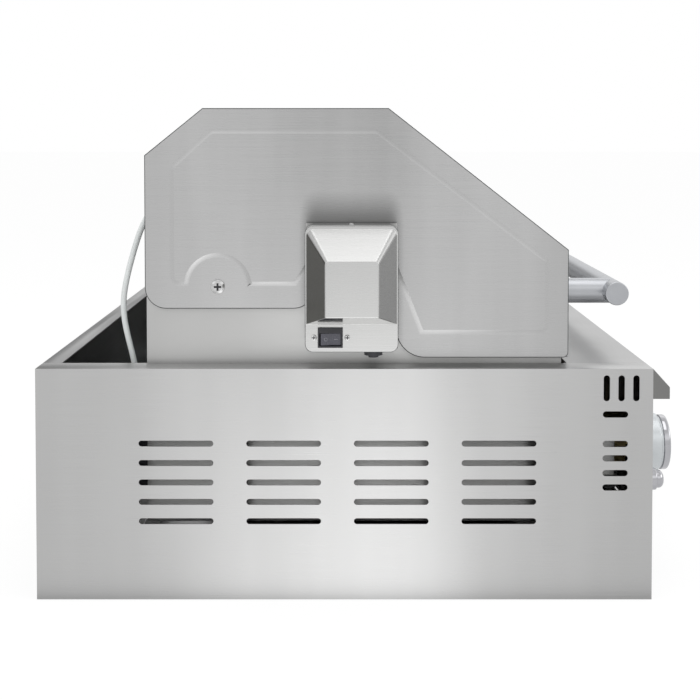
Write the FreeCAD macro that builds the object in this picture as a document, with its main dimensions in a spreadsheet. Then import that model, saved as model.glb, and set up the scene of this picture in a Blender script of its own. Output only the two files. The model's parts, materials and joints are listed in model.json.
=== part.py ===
import FreeCAD, Part
import math
import os
import re
import Sketcher

# A built-in gas grill. X is the width, Y the depth with the front at -Y, and Z is up.
# The origin is the centre of the cabinet's underside. Lengths are in millimetres.

V = FreeCAD.Vector
doc = FreeCAD.newDocument("GasGrill")

SIZES = {
    # Sheet metal
    "sheet_thick": 1.2,
    # Cabinet
    "cabinet_width": 760,
    "cabinet_depth": 570,
    "cabinet_height": 215,
    "side_flange": 30,
    "back_ledge": 18,
    "front_ledge": 75,
    "nose_out": 15.4,
    "nose_knee": 198,
    "nose_low": 187,
    "panel_low": 62,
    "foot_spacing_x": 700,
    "foot_spacing_y": 500,
    "foot_hole": 3.25,
    # Louvres of the side panels
    "louvre_length": 69,
    "louvre_width": 5.5,
    "louvre_pitch_y": 99.5,
    "louvre_rear": 155.5,
    "louvre_top": 145.6,
    "louvre_pitch_z": 18.1,
    "vent_width": 5.8,
    "upright_middle": 197,
    "upright_length": 24,
    "upright_front": 269.4,
    "upright_pitch": 13.65,
    "vent_middle": 250.3,
    "vent_length": 23.3,
    "back_vent_top": 64,
    "back_vent_place": 129,
    # Firebox
    "firebox_half": 350,
    "firebox_front": 205,
    "firebox_rear": 165,
    "firebox_wing": 186.6,
    "firebox_low": 64,
    "firebox_high": 342,
    "front_wall_high": 232,
    "ear_front": 256,
    "ear_low": 108,
    "ear_high": 153,
    "grate_level": 200,
    "grate_bar": 8,
    "grate_width": 229,
    "grate_pitch": 18.7,
    "grate_gap": 3,
    "tamer_low": 160,
    "tamer_rise": 26,
    "tamer_width": 130,
    "rack_level": 290,
    "rack_wire": 3,
    "rack_front": 56,
    "rack_rear": 136,
    "rear_burner_half": 240,
    "rear_burner_low": 246,
    "rear_burner_high": 318,
    # Gas train
    "knob_pitch": 188,
    "knob_level": 123,
    "burner_radius": 14,
    "burner_front": 232,
    "burner_shoulder": 198,
    "pipe_front": 226,
    "pipe_level": 280,
    "manifold_half": 320,
    "manifold_radius": 9.5,
    "manifold_level": 96,
    "manifold_depth": 258,
    "inlet_radius": 10.5,
    "inlet_reach": 25,
    "inlet_collar": 4,
    "valve_front": 279,
    "valve_depth": 40,
    "stem_radius": 4,
    "stem_back": 266.5,
    "stem_length": 48,
    "running_gap": 0.05,
    "knob_radius": 27,
    "knob_front": 321,
    "knob_back": 297.5,
    "knob_step": 312,
    "grip_width": 9,
    "grip_half": 15,
    "grip_rise": 3,
    "bezel_radius": 34,
    "bezel_front": 293,
    "button_radius": 8.6,
    "collar_radius": 10.5,
    "button_level": 101.2,
    "button_place": 338,
    "button_front": 305.6,
    "collar_front": 298,
    # Drip tray
    "tray_half": 320,
    "tray_low": 12,
    "tray_high": 44,
    "tray_rear": 200,
    "tray_face_half": 376,
    "tray_face_low": 8,
    "tray_grip_half": 60,
    "tray_grip_low": 47,
    "tray_grip_high": 56,
    # Hood outline, seen from the side
    "hood_half": 358,
    "hood_front": 210.4,
    "hood_low": 221.5,
    "hood_knee": 322.9,
    "hood_top": 455.5,
    "top_front": 41.5,
    "top_rear": 132.5,
    "rear_knee": 411.4,
    "hood_rear": 187,
    "hood_tail": 267.6,
    "skin_tail": 355.5,
    "notch_front": 48.6,
    "notch_rear": 27.6,
    "notch_top": 326,
    "notch_bend_front": 275,
    "notch_bend_rear": 290,
    "notch_top_front": 30,
    "notch_top_rear": 14,
    "tail_corner": 20,
    "notch_corner": 27,
    "raised_height": 1.4,
    "pivot_y": 118.5,
    "pivot_z": 288.4,
    "pivot_radius": 4,
    "pivot_head": 6.6,
    "pivot_land": 27,
    # Handle
    "handle_radius": 11.25,
    "handle_half": 330,
    "handle_y": 262,
    "handle_z": 278,
    "post_radius": 12.2,
    "post_place": 303,
    # Hood lights and thermometer
    "lamp_place": 170,
    "lamp_y": 45,
    "lamp_radius": 30,
    "gauge_radius": 36,
    "gauge_depth": 8,
    # Rotisserie
    "spit_y": -7,
    "spit_z": 300,
    "spit_side": 8,
    "motor_rear": 35.65,
    "motor_front": 49.15,
    "motor_low": 233.2,
    "motor_high": 348.4,
    "motor_plane": 366,
    "motor_rim": 30,
    "motor_rise": 40,
    "face_rear": 16.6,
    "face_front": 30.5,
    "face_low": 270.2,
    "face_high": 320,
    "slope_low": 257.6,
    "slope_margin": 0.8,
    "slope_drop": 3.3,
    "cover_corner": 5.5,
    "cord_y": -26.8,
    "cord_radius": 3.2,
    "spit_bush_radius": 5.95,
    "fork_place": 110,
    "gearbox_low": 273,
    "gearbox_side": 44,
    "gearbox_depth": 53.5,
    "switch_y": 12.6,
    "switch_z": 246.7,
    "switch_length": 22.7,
    "switch_height": 18.4,
    "rocker_length": 19,
    "rocker_height": 11.2,
    "rocker_z": 245,
    "rocker_pin": 1,
    # Lamp cable
    "cable_radius": 2.8,
    "cable_x": 330,
    "driver_low": 95,
    "driver_high": 140,
}

sheet = doc.addObject("Spreadsheet::Sheet", "Sizes")
for row, (alias, number) in enumerate(SIZES.items(), start=1):
    sheet.set(f"A{row}", alias)
    sheet.set(f"B{row}", str(number))
    sheet.setAlias(f"B{row}", alias)
doc.recompute()


def link(text):
    """An expression in which each size's name points to its cell."""
    return re.sub(r"\b([a-z]+_[a-z_]+)\b", r"Sizes.\1", str(text))


def value(text):
    """The number that an expression stands for now."""
    result = sheet.evalExpression(link(text))
    return float(getattr(result, "Value", result))


def bind(obj, prop, text):
    obj.setExpression(prop, link(text))


def place(obj, x, y, z, rotation=None):
    """Puts an object at a place that follows the sheet."""
    turn = rotation if rotation else FreeCAD.Rotation()
    obj.Placement = FreeCAD.Placement(V(value(x), value(y), value(z)), turn)
    for axis, text in zip("xyz", (x, y, z)):
        bind(obj, f".Placement.Base.{axis}", text)
    return obj


# Solids made from primitives

TURNS = {
    "x": FreeCAD.Rotation(V(0, 1, 0), 90),
    "-x": FreeCAD.Rotation(V(0, 1, 0), -90),
    "y": FreeCAD.Rotation(V(1, 0, 0), -90),
    "-y": FreeCAD.Rotation(V(1, 0, 0), 90),
    "z": FreeCAD.Rotation(),
}


def block(name, x, y, z, length, width, height):
    """A block from its lowest corner."""
    obj = doc.addObject("Part::Box", name)
    obj.Label = name
    bind(obj, "Length", length)
    bind(obj, "Width", width)
    bind(obj, "Height", height)
    return place(obj, x, y, z)


def rod(name, axis, x, y, z, radius, length):
    """A round bar from the middle of its first end."""
    obj = doc.addObject("Part::Cylinder", name)
    obj.Label = name
    bind(obj, "Radius", radius)
    bind(obj, "Height", length)
    return place(obj, x, y, z, TURNS[axis])


def cone(name, axis, x, y, z, first_radius, last_radius, length):
    obj = doc.addObject("Part::Cone", name)
    obj.Label = name
    bind(obj, "Radius1", first_radius)
    bind(obj, "Radius2", last_radius)
    bind(obj, "Height", length)
    return place(obj, x, y, z, TURNS[axis])


def join(name, pieces):
    """One solid from pieces that touch or overlap."""
    obj = doc.addObject("Part::MultiFuse", name)
    obj.Label = name
    obj.Shapes = pieces
    return obj


def cut(name, base, tool):
    obj = doc.addObject("Part::Cut", name)
    obj.Label = name
    obj.Base = base
    obj.Tool = tool
    return obj


def group(name, pieces):
    """Separate solids of one kind, kept as one sub-part."""
    obj = doc.addObject("Part::Compound", name)
    obj.Label = name
    obj.Links = pieces
    return obj


# Bodies made from sketches


def new_body(name, x="0", y="0", z="0"):
    body = doc.addObject("PartDesign::Body", name)
    body.Label = name
    return place(body, x, y, z)


def new_sketch(body, plane, name):
    """A sketch on one of the body's own planes: XY, XZ (x to the right, y up) or YZ."""
    sketch = body.newObject("Sketcher::SketchObject", name)
    support = [part for part in body.Origin.OriginFeatures if part.Role == f"{plane}_Plane"][0]
    sketch.AttachmentSupport = [(support, "")]
    sketch.MapMode = "FlatFace"
    return sketch


def pin_point(sketch, geometry, position, x, y):
    """Holds a point of a sketch at a place that follows the sheet."""
    for kind, text, axis in (("DistanceX", x, -2), ("DistanceY", y, -1)):
        number = value(text)
        if abs(number) < 1e-9:
            sketch.addConstraint(Sketcher.Constraint("PointOnObject", geometry, position, axis))
            continue
        index = sketch.addConstraint(Sketcher.Constraint(kind, -1, 1, geometry, position, number))
        sketch.setExpression(f"Constraints[{index}]", link(text))


def end_at(sketch, geometry, point):
    """Which end of a line or arc lies at a point: 1 for its start, 2 for its end."""
    return min((1, 2), key=lambda end: (sketch.getPoint(geometry, end) - point).Length)


def add_outline(sketch, corners, half_rounds=None):
    """A closed outline through the corners. Its sides are straight, apart from the half circles
    over a flat side that half_rounds lists: the side's number and its middle."""
    half_rounds = half_rounds or {}
    points = [V(value(x), value(y), 0) for x, y in corners]
    first = sketch.GeometryCount
    count = len(points)
    for i in range(count):
        start = points[i]
        end = points[(i + 1) % count]
        if i in half_rounds:
            middle = (start + end) * 0.5
            crown = middle + V(0, (end - start).Length / 2, 0)
            sketch.addGeometry(Part.Arc(start, crown, end), False)
        else:
            sketch.addGeometry(Part.LineSegment(start, end), False)
    for i in range(count):
        side = first + i
        following = first + (i + 1) % count
        corner = points[(i + 1) % count]
        side_end = end_at(sketch, side, corner)
        following_end = end_at(sketch, following, corner)
        sketch.addConstraint(Sketcher.Constraint("Coincident", side, side_end, following, following_end))
    for i, (x, y) in enumerate(corners):
        pin_point(sketch, first + i, end_at(sketch, first + i, points[i]), x, y)
    for i, height in half_rounds.items():
        level = sketch.addConstraint(Sketcher.Constraint("DistanceY", -1, 1, first + i, 3, value(height)))
        sketch.setExpression(f"Constraints[{level}]", link(height))


def add_circle(sketch, x, y, radius):
    circle = Part.Circle(V(value(x), value(y), 0), V(0, 0, 1), value(radius))
    index = sketch.addGeometry(circle, False)
    size = sketch.addConstraint(Sketcher.Constraint("Radius", index, value(radius)))
    sketch.setExpression(f"Constraints[{size}]", link(radius))
    pin_point(sketch, index, 3, x, y)


def add_slot(sketch, x, y, length, width, upright=False):
    """A slot with round ends, lying along the sketch's x, or along its y if upright."""
    half = f"({length} - {width})/2"
    radius = value(width) / 2
    if upright:
        ends = [(x, f"{y} + {half}"), (x, f"{y} - {half}")]
        out = V(0, 1, 0)
        across = V(1, 0, 0)
    else:
        ends = [(f"{x} + {half}", y), (f"{x} - {half}", y)]
        out = V(1, 0, 0)
        across = V(0, -1, 0)
    first = sketch.GeometryCount
    middles = [V(value(ex), value(ey), 0) for ex, ey in ends]
    side = across * radius
    sketch.addGeometry(Part.Arc(middles[0] + side, middles[0] + out * radius, middles[0] - side), False)
    sketch.addGeometry(Part.LineSegment(middles[0] - side, middles[1] - side), False)
    sketch.addGeometry(Part.Arc(middles[1] - side, middles[1] - out * radius, middles[1] + side), False)
    sketch.addGeometry(Part.LineSegment(middles[1] + side, middles[0] + side), False)
    # An arc runs anticlockwise in a sketch, so its first and last points are found by place.
    for arc, line in ((0, 1), (0, 3), (2, 1), (2, 3)):
        tie_ends(sketch, first + arc, first + line)
    for arc, (ex, ey) in zip((0, 2), ends):
        pin_point(sketch, first + arc, 3, ex, ey)
    size = sketch.addConstraint(Sketcher.Constraint("Radius", first, radius))
    sketch.setExpression(f"Constraints[{size}]", link(f"{width}/2"))
    sketch.addConstraint(Sketcher.Constraint("Equal", first, first + 2))


def tie_ends(sketch, arc, line):
    """Joins an arc and a line, tangent, at the two ends that lie together."""
    pairs = [(a, b) for a in (1, 2) for b in (1, 2)]
    nearest = min(pairs, key=lambda pair: (sketch.getPoint(arc, pair[0]) - sketch.getPoint(line, pair[1])).Length)
    sketch.addConstraint(Sketcher.Constraint("Tangent", arc, nearest[0], line, nearest[1]))


def pad(body, sketch, length, name, symmetric=False, reverse=False):
    feature = body.newObject("PartDesign::Pad", name)
    feature.Profile = sketch
    bind(feature, "Length", length)
    feature.SideType = "Symmetric" if symmetric else "One side"
    feature.Reversed = reverse
    doc.recompute()
    return feature


def pocket(body, sketch, name, length=None):
    """A pocket both ways through everything, or as long as stated, centred on its plane."""
    before = body.Shape.Volume
    feature = body.newObject("PartDesign::Pocket", name)
    feature.Profile = sketch
    feature.SideType = "Symmetric"
    if length is None:
        feature.Type = "ThroughAll"
    else:
        bind(feature, "Length", length)
    doc.recompute()
    if body.Shape.Volume >= before - 1e-6:
        raise RuntimeError(f"{body.Label}: {name} cuts nothing")
    return feature


def offset_path(points, distance):
    """A path beside another, at a distance to its left."""
    count = len(points)
    normals = []
    for i in range(count - 1):
        along = (points[i + 1] - points[i]).normalize()
        normals.append(V(-along.y, along.x, 0))
    moved = [points[0] + normals[0] * distance]
    for i in range(1, count - 1):
        middle = normals[i - 1] + normals[i]
        moved.append(points[i] + middle * (2 * distance / middle.Length ** 2))
    moved.append(points[-1] + normals[-1] * distance)
    return moved


def folded_sheet(body, plane, path, side, length, name, thick="sheet_thick"):
    """A sheet folded along a path, which is one of its faces. The metal lies to the left of the
    path where side is 1 and to its right where side is -1."""
    sketch = new_sketch(body, plane, f"{name}_path")
    outer = [V(value(x), value(y), 0) for x, y in path]
    inner = offset_path(outer, side * value(thick))
    folds = len(path) - 1
    for points in (outer, inner):
        for i in range(folds):
            sketch.addGeometry(Part.LineSegment(points[i], points[i + 1]), False)
    sketch.addGeometry(Part.LineSegment(outer[0], inner[0]), False)
    sketch.addGeometry(Part.LineSegment(outer[-1], inner[-1]), False)
    for i in range(folds - 1):
        sketch.addConstraint(Sketcher.Constraint("Coincident", i, 2, i + 1, 1))
        sketch.addConstraint(Sketcher.Constraint("Coincident", folds + i, 2, folds + i + 1, 1))
    first_end = 2 * folds
    last_end = first_end + 1
    sketch.addConstraint(Sketcher.Constraint("Coincident", first_end, 1, 0, 1))
    sketch.addConstraint(Sketcher.Constraint("Coincident", first_end, 2, folds, 1))
    sketch.addConstraint(Sketcher.Constraint("Coincident", last_end, 1, folds - 1, 2))
    sketch.addConstraint(Sketcher.Constraint("Coincident", last_end, 2, 2 * folds - 1, 2))
    sketch.addConstraint(Sketcher.Constraint("Perpendicular", first_end, 0))
    sketch.addConstraint(Sketcher.Constraint("Perpendicular", last_end, folds - 1))
    for i in range(folds):
        sketch.addConstraint(Sketcher.Constraint("Parallel", folds + i, i))
        gauge = sketch.addConstraint(Sketcher.Constraint("Distance", folds + i, 1, i, value(thick)))
        sketch.setExpression(f"Constraints[{gauge}]", link(thick))
    for i, (x, y) in enumerate(path):
        line, end = (i, 1) if i < folds else (folds - 1, 2)
        pin_point(sketch, line, end, x, y)
    return pad(body, sketch, length, name, symmetric=True)


def round_corners(body, radius, corners, name):
    """Rounds the edges that run along X through the given (y, z) corners."""
    base = body.Tip
    wanted = [(value(y), value(z)) for y, z in corners]
    edges = []
    for index, edge in enumerate(base.Shape.Edges, start=1):
        box = edge.BoundBox
        if box.YLength > 1e-3 or box.ZLength > 1e-3:
            continue
        if any(math.hypot(box.YMin - y, box.ZMin - z) < 0.01 for y, z in wanted):
            edges.append(f"Edge{index}")
    feature = body.newObject("PartDesign::Fillet", name)
    feature.Base = (base, edges)
    bind(feature, "Radius", radius)
    doc.recompute()
    return feature


# Cabinet: side panels with their louvres


VENT_LEVELS = (172.7, 145.3, 131.9, 118.1, 104.7)


def side_panel(name, sign):
    """sign is -1 for the left panel and 1 for the right one. The top folds inward."""
    body = new_body(name, x=f"{sign}*cabinet_width/2")
    path = [("0", "0"), ("0", "cabinet_height"), (f"{-sign}*side_flange", "cabinet_height")]
    folded_sheet(body, "XZ", path, sign, "cabinet_depth", f"{name}_sheet")
    louvres = new_sketch(body, "YZ", f"{name}_louvres")
    for row in range(5):
        add_slot(louvres, "louvre_rear", f"louvre_top - {row}*louvre_pitch_z", "louvre_length", "louvre_width")
    first = pocket(body, louvres, f"{name}_louvre_column")
    pattern = body.newObject("PartDesign::LinearPattern", f"{name}_louvre_columns")
    pattern.Originals = [first]
    pattern.Direction = (louvres, ["H_Axis"])
    pattern.Reversed = True
    bind(pattern, "Length", "3*louvre_pitch_y")
    pattern.Occurrences = 4
    body.Tip = pattern
    doc.recompute()
    vents = new_sketch(body, "YZ", f"{name}_vents")
    for column in range(3):
        middle = f"-(upright_front - {column}*upright_pitch)"
        add_slot(vents, middle, "upright_middle", "upright_length", "vent_width", upright=True)
    for level in VENT_LEVELS:
        add_slot(vents, "-vent_middle", level, "vent_length", "vent_width")
    pocket(body, vents, f"{name}_vent_slots")
    return body


left_side_panel = side_panel("left_side_panel", -1)
right_side_panel = side_panel("right_side_panel", 1)

# Cabinet: back panel with its ledge, pipe hole and louvres

HALF_INSIDE = "(cabinet_width/2 - sheet_thick)"
BACK = "(cabinet_depth/2)"

back_panel = new_body("back_panel", y=BACK)
back_face = new_sketch(back_panel, "XZ", "back_face")
back_corners = [
    (f"-{HALF_INSIDE}", "0"),
    (HALF_INSIDE, "0"),
    (HALF_INSIDE, "cabinet_height - sheet_thick"),
    (f"-{HALF_INSIDE}", "cabinet_height - sheet_thick"),
]
add_outline(back_face, back_corners)
pad(back_panel, back_face, "sheet_thick", "back_sheet")
back_top = new_sketch(back_panel, "XY", "back_top")
ledge_corners = [
    ("-firebox_half", "-back_ledge"),
    ("firebox_half", "-back_ledge"),
    ("firebox_half", "0"),
    ("-firebox_half", "0"),
]
add_outline(back_top, ledge_corners)
back_top.AttachmentOffset = FreeCAD.Placement(V(0, 0, value("cabinet_height")), FreeCAD.Rotation())
bind(back_top, ".AttachmentOffset.Base.z", "cabinet_height")
pad(back_panel, back_top, "sheet_thick", "back_ledge_sheet", reverse=True)
back_vents = new_sketch(back_panel, "XZ", "back_vents")
# The gas feed passes between the firebox and the right side panel.
MANIFOLD_END = "(firebox_half + 12)"
for column in (-2, -1, 1, 2):
    for row in range(3):
        add_slot(back_vents, f"{column}*back_vent_place", f"back_vent_top - {row}*louvre_pitch_z",
                 "louvre_length", "louvre_width")
add_circle(back_vents, MANIFOLD_END, "manifold_level", "inlet_radius + 2")
pocket(back_panel, back_vents, "back_openings", "20")

# Cabinet: base pan with a folded front lip and four fixing holes

base_pan = new_body("base_pan")
base_path = [(f"-{BACK}", "7"), (f"-{BACK}", "0"), (f"{BACK} - sheet_thick", "0")]
folded_sheet(base_pan, "YZ", base_path, 1, f"2*{HALF_INSIDE}", "base_sheet")
base_holes = new_sketch(base_pan, "XY", "base_holes")
for across in (-1, 1):
    for along in (-1, 1):
        add_circle(base_holes, f"{across}*foot_spacing_x/2", f"{along}*foot_spacing_y/2", "foot_hole")
pocket(base_pan, base_holes, "base_fixing_holes", "8")

# Cabinet: front ledge with the closed nose

front_ledge = new_body("front_ledge")
ledge_top = new_sketch(front_ledge, "XY", "ledge_top")
ledge_top.AttachmentOffset = FreeCAD.Placement(V(0, 0, value("cabinet_height")), FreeCAD.Rotation())
bind(ledge_top, ".AttachmentOffset.Base.z", "cabinet_height")
front_corners = [
    ("-firebox_half", f"-{BACK}"),
    ("firebox_half", f"-{BACK}"),
    ("firebox_half", f"-{BACK} + front_ledge"),
    ("-firebox_half", f"-{BACK} + front_ledge"),
]
add_outline(ledge_top, front_corners)
pad(front_ledge, ledge_top, "sheet_thick", "ledge_sheet", reverse=True)


def nose_corners(inset):
    """The nose seen from the side, drawn in by a wall's thickness."""
    return [
        (f"-{BACK} - {inset}", f"cabinet_height - 2.2*{inset}"),
        (f"-{BACK} - {inset}", f"nose_low + {inset}"),
        (f"-{BACK} - nose_out + {inset}", f"nose_low + {inset}"),
        (f"-{BACK} - nose_out + {inset}", f"nose_knee - 0.4*{inset}"),
    ]


nose_outside = new_sketch(front_ledge, "YZ", "nose_outside")
add_outline(nose_outside, nose_corners("0"))
pad(front_ledge, nose_outside, "cabinet_width", "nose_solid", symmetric=True)
nose_inside = new_sketch(front_ledge, "YZ", "nose_inside")
add_outline(nose_inside, nose_corners("sheet_thick"))
pocket(front_ledge, nose_inside, "nose_hollow", "cabinet_width - 2*sheet_thick")

# Cabinet: control panel with the holes for five stems and the button

KNOB_PLACES = [f"{place_number}*knob_pitch/2" for place_number in (-3, -1, 0, 1, 3)]

control_panel = new_body("control_panel", y=f"-{BACK} + sheet_thick")
panel_face = new_sketch(control_panel, "XZ", "panel_face")
panel_corners = [
    (f"-{HALF_INSIDE}", "panel_low"),
    (HALF_INSIDE, "panel_low"),
    (HALF_INSIDE, "cabinet_height - sheet_thick"),
    (f"-{HALF_INSIDE}", "cabinet_height - sheet_thick"),
]
add_outline(panel_face, panel_corners)
for middle in KNOB_PLACES:
    add_circle(panel_face, middle, "knob_level", "stem_radius + 2")
add_circle(panel_face, "-button_place", "button_level", "stem_radius + running_gap")
pad(control_panel, panel_face, "sheet_thick", "panel_sheet")

# Firebox: side walls with an open notch for the spit


def firebox_side(name, sign):
    """The walls stand on the cabinet's top folds. Each has an ear that reaches towards the valves."""
    inset = "-sheet_thick" if sign > 0 else "0"
    body = new_body(name, x=f"{sign}*firebox_half + ({inset})")
    sketch = new_sketch(body, "YZ", f"{name}_outline")
    notch = "(spit_side/2 + 3)"
    corners = [
        ("-firebox_front", "firebox_low"),
        ("firebox_wing", "firebox_low"),
        ("firebox_wing", "firebox_high - 50"),
        ("firebox_wing - 30", "firebox_high"),
        (f"spit_y + {notch}", "firebox_high"),
        (f"spit_y + {notch}", "spit_z - 6"),
        (f"spit_y - {notch}", "spit_z - 6"),
        (f"spit_y - {notch}", "firebox_high"),
        ("-firebox_front + 110", "firebox_high"),
        ("-firebox_front", "front_wall_high"),
        ("-firebox_front", "ear_high"),
        ("-ear_front", "ear_high"),
        ("-ear_front", "ear_low"),
        ("-firebox_front", "ear_low"),
    ]
    add_outline(sketch, corners)
    add_circle(sketch, "pivot_y", "pivot_z", "pivot_radius + running_gap")
    pad(body, sketch, "sheet_thick", f"{name}_sheet")
    return body


firebox_left_wall = firebox_side("firebox_left_wall", -1)
firebox_right_wall = firebox_side("firebox_right_wall", 1)

# Firebox: front and rear walls, each with a ledge under the grates

WALL_HALF = "(firebox_half - sheet_thick)"
BURNER_PLACES = [f"{place_number}*knob_pitch/2" for place_number in (-3, -1, 1, 3)]

firebox_front_wall = new_body("firebox_front_wall")
front_wall_path = [
    ("-firebox_front + 14", "grate_level - sheet_thick"),
    ("-firebox_front + sheet_thick", "grate_level - sheet_thick"),
    ("-firebox_front + sheet_thick", "firebox_low"),
]
folded_sheet(firebox_front_wall, "YZ", front_wall_path, -1, f"2*{WALL_HALF}", "front_wall_lower")
front_wall_sketch = new_sketch(firebox_front_wall, "XZ", "front_wall_upper")
front_wall_sketch.AttachmentOffset = FreeCAD.Placement(V(0, 0, value("firebox_front")), FreeCAD.Rotation())
bind(front_wall_sketch, ".AttachmentOffset.Base.z", "firebox_front")
upper_corners = [
    (f"-{WALL_HALF}", "grate_level - 2"),
    (WALL_HALF, "grate_level - 2"),
    (WALL_HALF, "front_wall_high"),
    (f"-{WALL_HALF}", "front_wall_high"),
]
add_outline(front_wall_sketch, upper_corners)
pad(firebox_front_wall, front_wall_sketch, "sheet_thick", "front_wall_rise", reverse=True)
venturi_holes = new_sketch(firebox_front_wall, "XZ", "venturi_holes")
venturi_holes.AttachmentOffset = FreeCAD.Placement(V(0, 0, value("firebox_front")), FreeCAD.Rotation())
bind(venturi_holes, ".AttachmentOffset.Base.z", "firebox_front")
for middle in BURNER_PLACES:
    add_circle(venturi_holes, middle, "knob_level", "burner_radius - 2")
add_circle(venturi_holes, "0", "knob_level", "stem_radius + 1")
pocket(firebox_front_wall, venturi_holes, "venturi_openings", "8")

firebox_rear_wall = new_body("firebox_rear_wall", y="firebox_rear")
rear_wall_face = new_sketch(firebox_rear_wall, "XZ", "rear_wall_face")
rear_corners = [
    (f"-{WALL_HALF}", "firebox_low"),
    (WALL_HALF, "firebox_low"),
    (WALL_HALF, "firebox_high"),
    (f"-{WALL_HALF}", "firebox_high"),
]
add_outline(rear_wall_face, rear_corners)
window_corners = [
    ("-rear_burner_half - 2", "rear_burner_low - 2"),
    ("rear_burner_half + 2", "rear_burner_low - 2"),
    ("rear_burner_half + 2", "rear_burner_high + 2"),
    ("-rear_burner_half - 2", "rear_burner_high + 2"),
]
add_outline(rear_wall_face, window_corners)
add_circle(rear_wall_face, "0", "knob_level", "stem_radius + 1")
pad(firebox_rear_wall, rear_wall_face, "sheet_thick", "rear_wall_sheet")
rear_shelf = new_sketch(firebox_rear_wall, "XY", "rear_shelf")
rear_shelf.AttachmentOffset = FreeCAD.Placement(V(0, 0, value("grate_level")), FreeCAD.Rotation())
bind(rear_shelf, ".AttachmentOffset.Base.z", "grate_level")
shelf_corners = [
    (f"-{WALL_HALF}", "-13"),
    (WALL_HALF, "-13"),
    (WALL_HALF, "0"),
    (f"-{WALL_HALF}", "0"),
]
add_outline(rear_shelf, shelf_corners)
pad(firebox_rear_wall, rear_shelf, "sheet_thick", "rear_shelf_sheet", reverse=True)

# Rear burner: a box with a flange in front of the wall and a recessed radiant face

BURNER_FACE = "(firebox_rear - 2*sheet_thick)"
BURNER_DEPTH = 12
burner_box = join("rear_burner_box", [
    block("rear_burner_flange", "-rear_burner_half - 10", BURNER_FACE, "rear_burner_low - 10",
          "2*rear_burner_half + 20", "sheet_thick", "rear_burner_high - rear_burner_low + 20"),
    block("rear_burner_case", "-rear_burner_half", BURNER_FACE, "rear_burner_low", "2*rear_burner_half",
          BURNER_DEPTH, "rear_burner_high - rear_burner_low"),
])
burner_recess = block("rear_burner_recess", "-rear_burner_half + 12", f"{BURNER_FACE} - 2.6", "rear_burner_low + 10",
                      "2*rear_burner_half - 24", BURNER_DEPTH / 2, "rear_burner_high - rear_burner_low - 20")
rear_burner = cut("rear_burner", burner_box, burner_recess)
pipe_reach = "(firebox_rear + 22)"
rear_burner_pipe = join("rear_burner_pipe", [
    rod("pipe_run", "y", 0, "-pipe_front", "knob_level", "stem_radius", f"pipe_front + {pipe_reach}"),
    rod("pipe_rise", "z", 0, pipe_reach, "knob_level", "stem_radius", "pipe_level - knob_level"),
    rod("pipe_entry", "-y", 0, pipe_reach, "pipe_level", "stem_radius",
        f"{pipe_reach} - {BURNER_FACE} - {BURNER_DEPTH}"),
    rod("pipe_elbow_low", "x", "-stem_radius", pipe_reach, "knob_level", "stem_radius", "2*stem_radius"),
    rod("pipe_elbow_high", "x", "-stem_radius", pipe_reach, "pipe_level", "stem_radius", "2*stem_radius"),
])

# Main burners: a tube with a narrower mixing neck, closed at the rear


def main_burner(number, middle):
    tube_length = "firebox_rear - sheet_thick + burner_shoulder"
    neck_length = "burner_front - burner_shoulder + 6"
    solid = join(f"burner_solid_{number}", [
        rod(f"burner_neck_{number}", "y", middle, "-burner_front", "knob_level", "burner_radius - 2.2", neck_length),
        rod(f"burner_tube_{number}", "y", middle, "-burner_shoulder", "knob_level", "burner_radius", tube_length),
    ])
    hollow = join(f"burner_hollow_{number}", [
        rod(f"neck_hollow_{number}", "y", middle, "-burner_front - 1", "knob_level", "burner_radius - 3.4",
            f"{neck_length} + 1"),
        rod(f"tube_hollow_{number}", "y", middle, "-burner_shoulder + 1.5", "knob_level", "burner_radius - 1.2",
            f"{tube_length} - 3"),
    ])
    return cut(f"burner_{number}", solid, hollow)


main_burners = group("main_burners", [main_burner(i, x) for i, x in enumerate(BURNER_PLACES, start=1)])


def electrode(number, middle):
    """A ceramic rod with a bare wire tip beside each burner."""
    x = f"{middle} + burner_radius + 4.5"
    return join(f"electrode_{number}", [
        rod(f"electrode_ceramic_{number}", "y", x, "-firebox_front + sheet_thick", "knob_level + 8", 3, 34),
        rod(f"electrode_wire_{number}", "y", x, "-firebox_front + sheet_thick", "knob_level + 8", 1, 44),
    ])


igniter_electrodes = group("igniter_electrodes", [electrode(i, x) for i, x in enumerate(BURNER_PLACES, start=1)])


def flame_tamer(number, middle):
    """A roof of folded sheet over a burner, between the front and rear walls."""
    body = new_body(f"tamer_{number}", x=middle, y="(firebox_rear - firebox_front)/2")
    path = [("-tamer_width/2", "tamer_low"), ("0", "tamer_low + tamer_rise"), ("tamer_width/2", "tamer_low")]
    folded_sheet(body, "XZ", path, -1, "firebox_front + firebox_rear - 2*sheet_thick", f"tamer_sheet_{number}")
    return body


flame_tamers = group("flame_tamers", [flame_tamer(i, x) for i, x in enumerate(BURNER_PLACES, start=1)])


def cooking_grate(number, middle):
    """Two cross bars under eleven round rods with a frame at both ends."""
    front = "(-firebox_front + sheet_thick + 1)"
    depth = "(firebox_front + firebox_rear - 2*sheet_thick - 2)"
    pieces = []
    for end, y in enumerate((front, f"{front} + {depth} - grate_bar")):
        pieces.append(block(f"grate_end_{number}_{end}", f"{middle} - grate_width/2", y, "grate_level",
                            "grate_width", "grate_bar", "grate_bar"))
    pieces.append(block(f"grate_cross_{number}", f"{middle} - grate_width/2", f"{front} + {depth}/2",
                        "grate_level", "grate_width", "grate_bar", "grate_bar/2"))
    for bar in range(-5, 6):
        x = f"{middle} + {bar}*(grate_width - grate_bar)/10.0"
        pieces.append(rod(f"grate_rod_{number}_{bar + 5}", "y", x, f"{front} + grate_bar/2",
                          "grate_level + grate_bar/2", "grate_bar/2 - 0.2", f"{depth} - grate_bar"))
    return join(f"grate_{number}", pieces)


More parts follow.
